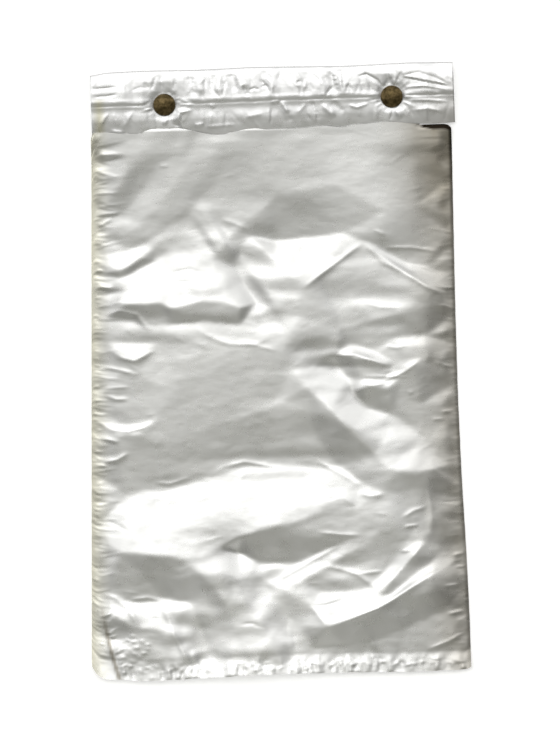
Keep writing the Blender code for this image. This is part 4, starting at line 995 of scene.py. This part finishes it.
    def lift_edges(self, points, s, t, front, under):
        """Draws the back film up to the front's at the hem and the sides, so that the welds are thin."""
        for place, run, zone in ((t, s, HEM_LIFT_ZONE), (1 - s, t, SIDE_LIFT_ZONE), (s, t, SIDE_LIFT_ZONE)):
            rim = np.nonzero(front & (place > 1 - 1e-4))[0]
            rim = rim[np.argsort(run[rim])]
            height = np.interp(run, run[rim], points[rim, 2]) - WELD_GAUGE
            near = np.clip(1 - (1 - place) / zone, 0, 1) ** 2
            raised = points[:, 2] + (height - points[:, 2]) * near
            points[under, 2] = np.maximum(points[under, 2], raised[under])

    def stains_and_shade(self, mesh, points, s, t):
        """Where the film is yellowed at its left seam, darker and browner towards its right side and along
        the slanting weld, paler towards its hem, and painted with shadow under the skirt at the right
        shoulder and along the right edge.
        """
        uneven = 0.5 + 0.5 * waves(points, scale=0.03, turn=math.pi / 2, seed=9, stretch=2.0)
        seam = (1 - grow(s, 0, SEAM_STAIN_WIDTH)) ** 1.3
        paint(mesh, "seam_stain", np.clip(seam * (0.7 + 0.4 * uneven), 0, 1))
        # Darker, browner tone towards the right side and the top, and along the slanting weld at the lower
        # left
        upper = np.clip(1.3 - t / 0.2, 0, 1)
        rim = grow(s + 0.05 * upper, *RIGHT_DARK_TONE) ** 1.5 * (0.45 + 0.45 * uneven + 0.2 * upper)
        weld, _ = path_distance(points, [spot(*place) for place in SLANTING_WELD])
        weld = 0.75 * np.clip(1.6 - weld / SLANTING_WELD_WIDTH, 0, 1) * grow(t, *WELD_STAIN)
        paint(mesh, "dark_tone", np.clip(np.maximum(rim, weld), 0, 1))
        # Paler towards the hem, and most at the middle of the hem
        foot = grow(t, *HEM_PALING) * hump(s, *HEM_PALING_PLACE)
        paint(mesh, "paler_tone", 0.4 * grow(t, *PANEL_PALING) + 0.6 * foot)
        # Painted shadow: black under the skirt at the right shoulder, and a dark line along the right edge
        depth = SHADOW_DEPTH * (1 + grow(s, *CORNER_DEEPER))
        corner = grow(s, *CORNER_SHADOW) * np.clip(3.75 - 3 * t / depth, 0, 1)
        edge = grow(s, *EDGE_SHADOW_LINE) * (0.45 + 0.55 * np.clip(1 - t / 0.35, 0, 1))
        paint(mesh, "painted_shadow_line", np.maximum(corner, edge))


class FILMBAG_OT_header(Operator):
    """Fold the header film over the frame's header strip and crumple it"""

    bl_idname = "filmbag.header"
    bl_label = "Build header"

    def execute(self, context):
        settings = context.scene.film_header
        bm = bmesh.new()
        _, down = share_layers(bm, "across", "down")
        made = bmesh.ops.create_grid(bm, x_segments=settings.columns, y_segments=2 * settings.rows,
                                     size=0.5)["verts"]
        self.fold_over(bm, made, settings.film_gauge / 2)
        soften(bm, [v for v in made if v[down] > 0.02], 2)
        bmesh.ops.recalc_face_normals(bm, faces=bm.faces[:])
        finish = film_material("header_film", settings.film, settings.film, settings.seam, HEADER_RIM)
        piece = new_piece("header_sleeve", bm, finish, "header_film", "header_strip")
        self.crumple(piece.data, settings)
        skin = piece.modifiers.new("Film gauge", "SOLIDIFY")
        skin.thickness = settings.film_gauge
        skin.offset = 0.0
        return {"FINISHED"}

    def fold_over(self, bm, verts, half_gauge):
        """Lays a square's lower half on the front of the frame's strip, and its upper half on the back."""
        across, down = (bm.verts.layers.float[name] for name in ("across", "down"))
        levels = Levels("header_strip")
        low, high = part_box("header_strip")
        left, right = low.x + HEADER_HAIR, high.x - HEADER_HAIR
        ends = {}
        for vert in verts:
            s, t = vert.co.x + 0.5, -2 * vert.co.y
            x = left + (right - left) * s
            key = round(s * 10000)
            if key not in ends:
                ends[key] = levels.reach(x, 0)
            hem, top = ends[key][0], ends[key][1] - half_gauge
            y = top + (hem - top) * abs(t) ** 1.15
            inside = HEADER_HAIR if abs(t) > 0.9 else -HEADER_HAIR
            level = levels.level(x, y + inside, 1 if t > 0 else -1)
            if level is None:
                level = levels.tree.find_nearest(Vector((x, y, 0.003)))[0].z
            vert.co = Vector((x, y, level - half_gauge if t > 0 else level + half_gauge))
            vert[across], vert[down] = s, t
        for vert in verts:
            if abs(vert[down]) < 1e-6:
                others = [edge.other_vert(vert) for edge in vert.link_edges]
                around = [other.co.z for other in others if abs(other[down]) > 1e-6]
                vert.co.z = sum(around) / len(around)

    def crumple(self, mesh, settings):
        """Flattens the frame's puff and adds everything finer than it, except round the studs."""
        points = mesh_points(mesh)
        s, t = read_shares(mesh, "across", "down")
        studs = [sum(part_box(f"{side}_stud_cap"), Vector()) / 2 for side in ("left", "right")]
        puff = np.where(points[:, 1] > studs[0].y, settings.upper_puff, settings.lower_puff)
        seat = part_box("left_stud_cap")[0].z + PUFF_BASE_RISE
        puffed = (t > 0) & (points[:, 2] > seat)
        points[:, 2] = np.where(puffed, seat + (points[:, 2] - seat) * puff, points[:, 2])
        off_crease = points[:, 1] - (studs[0].y + CREASE_RISE)
        lift = settings.valley_fill * np.exp(-(off_crease / VALLEY_WIDTH) ** 2)
        lift -= settings.crease_depth * np.exp(-(off_crease / CREASE_WIDTH) ** 2)
        add_listed(crease, points, lift, HEADER_CREASES)
        add_listed(pleat, points, lift, HEADER_PLEATS)
        self.small_crumples(points, lift, settings.crumples, studs)
        lift += 0.00006 * waves(points, scale=0.011, turn=1.4, seed=15, stretch=1.8)
        lift -= settings.hem_drop * grow(t, *HEADER_HEM) ** 1.5
        away = np.ones(len(points))
        for stud in studs:
            away *= grow(np.hypot(points[:, 0] - stud.x, points[:, 1] - stud.y), *STUD_ZONE)
        lowest = np.where(t > FOLD_END, np.minimum(points[:, 2], LOWEST_FRONT), -1)
        points[:, 2] = np.maximum(points[:, 2] + lift * grow(t, *FOLD_ZONE) * away, lowest)
        back_wave = 0.00012 * (1 + waves(points, scale=0.02, turn=1.4, seed=17, stretch=1.5))
        points[:, 2] -= back_wave * grow(-t, *FOLD_ZONE) * away
        set_points(mesh, points)
        seam = 1 - grow(np.abs(s - HEADER_SEAM), 0, HEADER_SEAM_WIDTH)
        paint(mesh, "seam_stain", seam * grow(t, *HEADER_SEAM_DOWN))
        # Darker tone towards the header's right end, growing down its front
        paint(mesh, "dark_tone", 0.6 * grow(s, *HEADER_RIGHT_DARK_TONE) ** 1.5 * np.clip((t - 0.1) * 1.2, 0, 1))
        paint(mesh, "painted_shadow_line", np.zeros(len(points)))
        paint(mesh, "paler_tone", np.ones(len(points)))

    def small_crumples(self, points, lift, most, studs):
        """Uneven fine crumples: upright ones above and below the cross crease, and rays round the studs."""
        rng = random.Random(61)
        low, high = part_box("header_strip")
        crease_y = studs[0].y
        for count, above in ((90, True), (60, False)):
            for i in range(count):
                x = low.x + (high.x - low.x) * (i + rng.uniform(-0.45, 0.45)) / count
                slant = rng.gauss(0.0008, 0.0022)
                if above:
                    top = high.y - rng.uniform(0.001, 0.013)
                    bottom = max(crease_y + 0.0012, top - rng.uniform(0.004, 0.014))
                else:
                    top = crease_y - rng.uniform(0.0012, 0.006)
                    bottom = low.y + rng.uniform(0.002, 0.009)
                middle = Vector((x + rng.uniform(-0.0005, 0.0005), (top + bottom) / 2))
                path = [Vector((x - slant, top)), middle, Vector((x + slant, bottom))]
                height = most * rng.uniform(-0.5, 0.5)
                crease(points, lift, path, rng.uniform(0.8, 1.6) * MM, height, (0.3, 0.25))
        rays = 15
        for stud in studs:
            for i in range(rays):
                turn = 2 * math.pi * (i + rng.uniform(-0.3, 0.3)) / rays
                run = Vector((math.cos(turn), math.sin(turn)))
                start = stud.xy + run * 0.0075
                path = [start, start + run * rng.uniform(0.004, 0.011)]
                width = rng.uniform(0.8, 1.3) * MM
                crease(points, lift, path, width, most * rng.uniform(-0.5, 0.6), (0.1, 0.6))


class FILMBAG_OT_studs(Operator):
    """Turn the domed caps of the press studs and give the back discs their bronze"""

    bl_idname = "filmbag.studs"
    bl_label = "Build studs"

    def execute(self, context):
        settings = context.scene.film_studs
        bronze = bronze_material(settings)
        for number, side in enumerate(("left", "right")):
            self.cap(f"{side}_stud_cap", settings, bronze, number)
            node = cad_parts[f"{side}_stud_back"]
            node.data.materials.clear()
            node.data.materials.append(bronze)
        return {"FINISHED"}

    def cap(self, node, settings, bronze, number):
        """Turned dome with a rolled rim, a socket post inside and a few flats planished on top."""
        low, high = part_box(node)
        middle = (low + high) / 2
        radius = (high.x - low.x) / 2
        height = high.z - low.z
        crown = height - CAP_RIM
        section = [(0.0, height)]
        for i in range(1, DOME_STEPS + 1):
            turn = math.pi / 2 * i / DOME_STEPS
            section.append((radius * math.sin(turn), CAP_RIM + crown * math.cos(turn)))
        section += [(radius - RIM_ROUNDING / 3, RIM_ROUNDING), (radius - RIM_ROUNDING, 0.0),
                    (radius - CAP_RIM, 0.0), (radius - CAP_RIM - RIM_ROUNDING, CAP_RIM),
                    (POST_RADIUS + RIM_ROUNDING, CAP_RIM), (POST_RADIUS, 0.0),
                    (SOCKET_RADIUS, 0.0), (SOCKET_RADIUS, SOCKET_DEPTH), (0.0, SOCKET_DEPTH)]
        bm = bmesh.new()
        verts = [bm.verts.new((reach, 0.0, z)) for reach, z in section]
        edges = [bm.edges.new(pair) for pair in zip(verts, verts[1:])]
        bmesh.ops.spin(bm, geom=verts + edges, cent=(0, 0, 0), axis=(0, 0, 1), dvec=(0, 0, 0),
                       angle=2 * math.pi, steps=settings.steps, use_merge=True, use_duplicate=False)
        bmesh.ops.remove_doubles(bm, verts=bm.verts[:], dist=1e-6)
        bmesh.ops.recalc_face_normals(bm, faces=bm.faces[:])
        rng = random.Random(71 + number)
        flats = []
        for i in range(DOME_FLATS + 1):
            turn = 2 * math.pi * i / DOME_FLATS + rng.uniform(-0.25, 0.25)
            tilt = 0.25 if i == DOME_FLATS else rng.uniform(0.55, 0.95)
            aside = Vector((math.cos(turn), math.sin(turn), 0.0)) * math.sin(tilt)
            direction = aside + Vector((0.0, 0.0, math.cos(tilt)))
            flats.append((direction, 1 - settings.planish * rng.uniform(0.5, 1.0)))
        for vert in bm.verts:
            in_socket = vert.co.xy.length < 0.0001 and vert.co.z < height / 2
            if vert.co.z < CAP_RIM or in_socket:
                continue
            ball = Vector((vert.co.x / radius, vert.co.y / radius, (vert.co.z - CAP_RIM) / crown))
            for direction, depth in flats:
                over = ball.dot(direction) - depth
                if over > 0 and ball.length > 0.9:
                    ball -= direction * over
            vert.co = Vector((ball.x * radius, ball.y * radius, ball.z * crown + CAP_RIM))
        bmesh.ops.translate(bm, verts=bm.verts[:], vec=(middle.x, middle.y, low.z))
        piece = new_piece(f"{node}_dome", bm, bronze, "antique_bronze", node)
        piece.data.set_sharp_from_angle(angle=math.radians(50))


def shader_group(name, build, inputs, outputs):
    """Shader node group with named sockets, built once; inputs are (name, kind, default)."""
    if name in bpy.data.node_groups:
        return bpy.data.node_groups[name]
    tree = bpy.data.node_groups.new(name, "ShaderNodeTree")
    for label, kind, default in inputs:
        socket = tree.interface.new_socket(name=label, in_out="INPUT", socket_type=kind)
        socket.default_value = default
    for label, kind in outputs:
        tree.interface.new_socket(name=label, in_out="OUTPUT", socket_type=kind)
    source = tree.nodes.new("NodeGroupInput")
    target = tree.nodes.new("NodeGroupOutput")
    build(tree, source.outputs, target.inputs)
    return tree


def feed(tree, socket, value):
    """Links an output to the socket, or sets the socket to a plain value."""
    if isinstance(value, bpy.types.NodeSocket):
        tree.links.new(value, socket)
    else:
        socket.default_value = value


def add_node(tree, kind, fed=None, **values):
    """Node with these settings, whose sockets are fed by name or number."""
    node = tree.nodes.new(kind)
    for name, value in values.items():
        setattr(node, name, value)
    for socket, value in (fed or {}).items():
        feed(tree, node.inputs[socket], value)
    return node


def calculated(tree, operation, *terms):
    """Result of a Math node on one or two terms."""
    return add_node(tree, "ShaderNodeMath", dict(enumerate(terms)), operation=operation).outputs[0]


def ranged(tree, value, old, new):
    """Turns a value's range, as (from, to), into another one."""
    fed = {"Value": value, "From Min": old[0], "From Max": old[1], "To Min": new[0], "To Max": new[1]}
    return add_node(tree, "ShaderNodeMapRange", fed).outputs[0]


def place_of(tree):
    """Object coordinates of the shaded point."""
    return add_node(tree, "ShaderNodeTexCoord").outputs["Object"]


def noise_of(tree, vector, scale, detail, roughness=0.55):
    fed = {"Vector": vector, "Scale": scale, "Detail": detail, "Roughness": roughness}
    return add_node(tree, "ShaderNodeTexNoise", fed).outputs["Fac"]


def bump_of(tree, height, strength, distance):
    fed = {"Height": height, "Strength": strength, "Distance": distance}
    return add_node(tree, "ShaderNodeBump", fed).outputs["Normal"]


def build_crinkle(tree, given, result):
    """Fine creases of handled film: sharp ridges in two directions over a soft grain."""
    where = place_of(tree)
    folds = []
    for angle, share in ((0.35, 1.0), (-0.9, 0.7)):
        fed = {"Vector": where, "Rotation": (0.0, 0.0, angle), "Scale": (0.45, 1.0, 1.0)}
        drawn_out = add_node(tree, "ShaderNodeMapping", fed).outputs["Vector"]
        grain = noise_of(tree, drawn_out, given["Scale"], detail=2.0)
        ridge = calculated(tree, "ABSOLUTE", calculated(tree, "SUBTRACT", grain, 0.5))
        folds.append(calculated(tree, "MULTIPLY", ridge, share))
    feed(tree, result["Height"], calculated(tree, "ADD", *folds))


def crinkle_group():
    return shader_group("film_crinkle", build_crinkle, (("Scale", "NodeSocketFloat", 160.0),),
                        (("Height", "NodeSocketFloat"),))


def build_tint(tree, given, result):
    """Film colour with faint clouds, turned by the piece's own masks towards its yellowed seam, its darker
    and paler tones and its painted shadow.
    """
    where = place_of(tree)
    cloud = ranged(tree, noise_of(tree, where, scale=22.0, detail=3.0), NOISE_RANGE, (0.94, 1.04))
    colour = given["Film"]
    # Paler tone, yellowed seam, darker tone and painted shadow line, each mixed into the colour by its own
    # mask
    masks = {"Paler Film": "paler_tone", "Seam": "seam_stain", "Rim": "dark_tone", "Line": "painted_shadow_line"}
    for stains_and_shade, mask in masks.items():
        layer = add_node(tree, "ShaderNodeAttribute", attribute_name=mask)
        fed = {"Factor": layer.outputs["Fac"], 6: colour, 7: given[stains_and_shade]}
        colour = add_node(tree, "ShaderNodeMix", fed, data_type="RGBA").outputs[2]
    shade = add_node(tree, "ShaderNodeVectorMath", {0: colour, "Scale": cloud}, operation="SCALE")
    feed(tree, result["Colour"], shade.outputs[0])
    gloss = ranged(tree, noise_of(tree, where, scale=60.0, detail=4.0), NOISE_RANGE, (0.8, 1.2))
    feed(tree, result["Roughness"], calculated(tree, "MULTIPLY", gloss, given["Roughness"]))


def tint_group():
    labels = ("Film", "Paler Film", "Seam", "Rim", "Line")
    colours = [(label, "NodeSocketColor", (0.5, 0.5, 0.5, 1.0)) for label in labels]
    return shader_group("film_tint", build_tint, (*colours, ("Roughness", "NodeSocketFloat", FILM_ROUGHNESS)),
                        (("Colour", "NodeSocketColor"), ("Roughness", "NodeSocketFloat")))


def new_material(name):
    """Node material with the Principled shader that a new one holds."""
    finish = bpy.data.materials.new(name)
    finish.use_nodes = True
    return finish, finish.node_tree, finish.node_tree.nodes["Principled BSDF"].inputs


def film_material(name, film, paler, seam, rim):
    """Thin pearly film: mostly mirror and the rest milky, with stains and darker tones by its rims and
    painted shadow at its right rim.
    """
    finish, tree, shader = new_material(name)
    colours = {"Film": film, "Paler Film": paler, "Seam": seam, "Rim": rim, "Line": SHADOW_LINE_COLOUR}
    fed = {label: (*colour, 1.0) for label, colour in colours.items()}
    tint = add_node(tree, "ShaderNodeGroup", {**fed, "Roughness": FILM_ROUGHNESS}, node_tree=tint_group())
    feed(tree, shader["Base Color"], tint.outputs["Colour"])
    feed(tree, shader["Roughness"], tint.outputs["Roughness"])
    crinkle = add_node(tree, "ShaderNodeGroup", {"Scale": 95.0}, node_tree=crinkle_group())
    feed(tree, shader["Normal"], bump_of(tree, crinkle.outputs["Height"], strength=0.22, distance=0.0006))
    # The painted shadow line is near black, fully metallic and without coat
    line = add_node(tree, "ShaderNodeAttribute", attribute_name="painted_shadow_line").outputs["Fac"]
    feed(tree, shader["Metallic"], ranged(tree, line, (0.0, 1.0), METALLIC))
    feed(tree, shader["Coat Weight"], ranged(tree, line, (0.0, 1.0), COAT))
    feed(tree, shader["Coat Roughness"], 0.12)
    feed(tree, shader["IOR"], 1.5)
    return finish


def bronze_material(settings):
    """Dark antique bronze, rubbed brighter in uneven patches and speckled with patina."""
    finish, tree, shader = new_material("antique_bronze")
    where = place_of(tree)
    patina = noise_of(tree, where, scale=420.0, detail=6.0, roughness=0.65)
    tones = colour_ramp(tree, patina, ((0.40, settings.bronze), (0.72, settings.worn)))
    feed(tree, shader["Base Color"], tones)
    feed(tree, shader["Roughness"], ranged(tree, patina, NOISE_RANGE, (0.28, 0.44)))
    grain = noise_of(tree, where, scale=700.0, detail=3.0)
    feed(tree, shader["Normal"], bump_of(tree, grain, strength=0.3, distance=0.0003))
    feed(tree, shader["Metallic"], 0.85)
    return finish


def colour_ramp(tree, value, stops):
    """Colour of the value on a ramp with these (position, colour) stops."""
    node = add_node(tree, "ShaderNodeValToRGB", {"Fac": value})
    elements = node.color_ramp.elements
    for number, (position, colour) in enumerate(stops):
        stop = elements[number] if number < len(elements) else elements.new(1.0)
        stop.position = position
        stop.color = (*colour, 1.0)
    return node.outputs["Color"]


class FILMBAG_OT_stage(Operator):
    """Lay the floor, hang the lamp and set the camera above the bag"""

    bl_idname = "filmbag.stage"
    bl_label = "Build stage"

    def execute(self, context):
        settings = context.scene.film_stage
        self.floor()
        self.room(context.scene, settings)
        self.softbox("softbox", settings.glow)
        self.camera(context.scene, settings)
        context.scene.view_settings.view_transform = "Standard"
        return {"FINISHED"}

    def floor(self):
        """Pale floor that takes the bag's shadow and reads as white to the camera and in reflections."""
        bm = bmesh.new()
        bmesh.ops.create_grid(bm, x_segments=1, y_segments=1, size=FLOOR_SIZE)
        bmesh.ops.translate(bm, verts=bm.verts[:], vec=(0, 0, -FLOOR_DROP))
        mesh = bpy.data.meshes.new("floor")
        bm.to_mesh(mesh)
        bm.free()
        floor = bpy.data.objects.new("floor", mesh)
        bpy.context.scene.collection.objects.link(floor)
        finish = bpy.data.materials.new("floor_white")
        finish.use_nodes = True
        tree = finish.node_tree
        tree.nodes.clear()
        diffuse = add_node(tree, "ShaderNodeBsdfDiffuse", {"Color": FLOOR_COLOUR}).outputs[0]
        glow = add_node(tree, "ShaderNodeEmission", {"Strength": FLOOR_GLOW}).outputs[0]
        bright = add_node(tree, "ShaderNodeAddShader", {0: diffuse, 1: glow}).outputs[0]
        path = add_node(tree, "ShaderNodeLightPath").outputs
        seen = path["Is Camera Ray"]
        for name in ("Is Glossy Ray", "Is Transmission Ray"):
            seen = calculated(tree, "MAXIMUM", seen, path[name])
        mix = add_node(tree, "ShaderNodeMixShader", {"Fac": seen, 1: diffuse, 2: bright})
        add_node(tree, "ShaderNodeOutputMaterial", {"Surface": mix.outputs[0]})
        mesh.materials.append(finish)

    def room(self, scene, settings):
        """Plain room whose ceiling grows brighter towards the header's side."""
        world = bpy.data.worlds.new("plain_room")
        world.use_nodes = True
        tree = world.node_tree
        direction = add_node(tree, "ShaderNodeTexCoord").outputs["Generated"]
        turn = add_node(tree, "ShaderNodeMapping", {"Vector": direction, "Rotation": (0.0, 0.0, ROOM_TURN)},
                        vector_type="VECTOR")
        axes = add_node(tree, "ShaderNodeSeparateXYZ", {0: turn.outputs["Vector"]}).outputs
        along = [(place, (tone, tone, tone * (1 - warmth))) for place, tone, warmth in ROOM_TONES]
        across = [(place, (tone, tone, tone)) for place, tone in SIDE_TONES]
        fed = {}
        for number, (axis, tones) in enumerate((("Y", along), ("X", across))):
            share = ranged(tree, axes[axis], (-1.0, 1.0), (0.0, 1.0))
            fed[number] = colour_ramp(tree, share, [((place + 1) / 2, colour) for place, colour in tones])
        both = add_node(tree, "ShaderNodeVectorMath", fed, operation="MULTIPLY")
        background = tree.nodes["Background"].inputs
        feed(tree, background["Color"], both.outputs[0])
        feed(tree, background["Strength"], settings.room_light)
        scene.world = world

    def softbox(self, name, glow):
        """Rectangular lamp that fills the softbox's angles, as the bag sees it."""
        lamp = bpy.data.lights.new(name, "AREA")
        lamp.shape = "RECTANGLE"
        lamp.size = 2 * LAMP_DISTANCE * math.tan(math.radians((LAMP_ACROSS[1] - LAMP_ACROSS[0]) / 2))
        lamp.size_y = 2 * LAMP_DISTANCE * math.tan(math.radians((LAMP_BEYOND[1] - LAMP_BEYOND[0]) / 2))
        lamp.energy = glow * math.pi * lamp.size * lamp.size_y
        holder = bpy.data.objects.new(name, lamp)
        slopes = [math.tan(math.radians(sum(span) / 2)) for span in (LAMP_ACROSS, LAMP_BEYOND)]
        middle = Vector((*slopes, 1.0)).normalized()
        holder.location = middle * LAMP_DISTANCE
        holder.rotation_euler = (-middle).to_track_quat("-Z", "Y").to_euler()
        bpy.context.scene.collection.objects.link(holder)

    def camera(self, scene, settings):
        """Long lens straight above, turned a little so that the header climbs to the right."""
        camera = bpy.data.cameras.new("top_camera")
        camera.sensor_fit = "VERTICAL"
        camera.sensor_height = SENSOR_HEIGHT
        camera.lens = SENSOR_HEIGHT * settings.camera_height / settings.view_height
        holder = bpy.data.objects.new("top_camera", camera)
        holder.location = (*CAMERA_PLACE, settings.camera_height)
        holder.rotation_euler = (0.0, 0.0, math.radians(CAMERA_TURN))
        scene.collection.objects.link(holder)
        scene.camera = holder


class FILMBAG_PT_panel(Panel):
    """Sizes, colours and buttons of the film bag"""

    bl_label = "Film bag"
    bl_idname = "FILMBAG_PT_panel"
    bl_space_type = "VIEW_3D"
    bl_region_type = "UI"
    bl_category = "Film bag"

    def draw(self, context):
        groups = (("film_bag", "filmbag.bag"), ("film_header", "filmbag.header"),
                  ("film_studs", "filmbag.studs"), ("film_stage", "filmbag.stage"))
        for name, operator in groups:
            settings = getattr(context.scene, name)
            box = self.layout.box()
            for key in settings.bl_rna.properties.keys():
                if key not in ("name", "rna_type"):
                    box.prop(settings, key)
            box.operator(operator)


GROUPS = {"film_bag": BagSettings, "film_header": HeaderSettings, "film_studs": StudSettings,
          "film_stage": StageSettings}
CLASSES = (*GROUPS.values(), FILMBAG_OT_bag, FILMBAG_OT_header, FILMBAG_OT_studs, FILMBAG_OT_stage,
           FILMBAG_PT_panel)


def register():
    for kind in CLASSES:
        bpy.utils.register_class(kind)
    for name, kind in GROUPS.items():
        setattr(bpy.types.Scene, name, PointerProperty(type=kind))


def unregister():
    for name in GROUPS:
        delattr(bpy.types.Scene, name)
    for kind in reversed(CLASSES):
        bpy.utils.unregister_class(kind)


def main():
    register()
    bpy.ops.filmbag.bag()
    bpy.ops.filmbag.header()
    bpy.ops.filmbag.studs()
    bpy.ops.filmbag.stage()


if __name__ == "__main__":
    main()
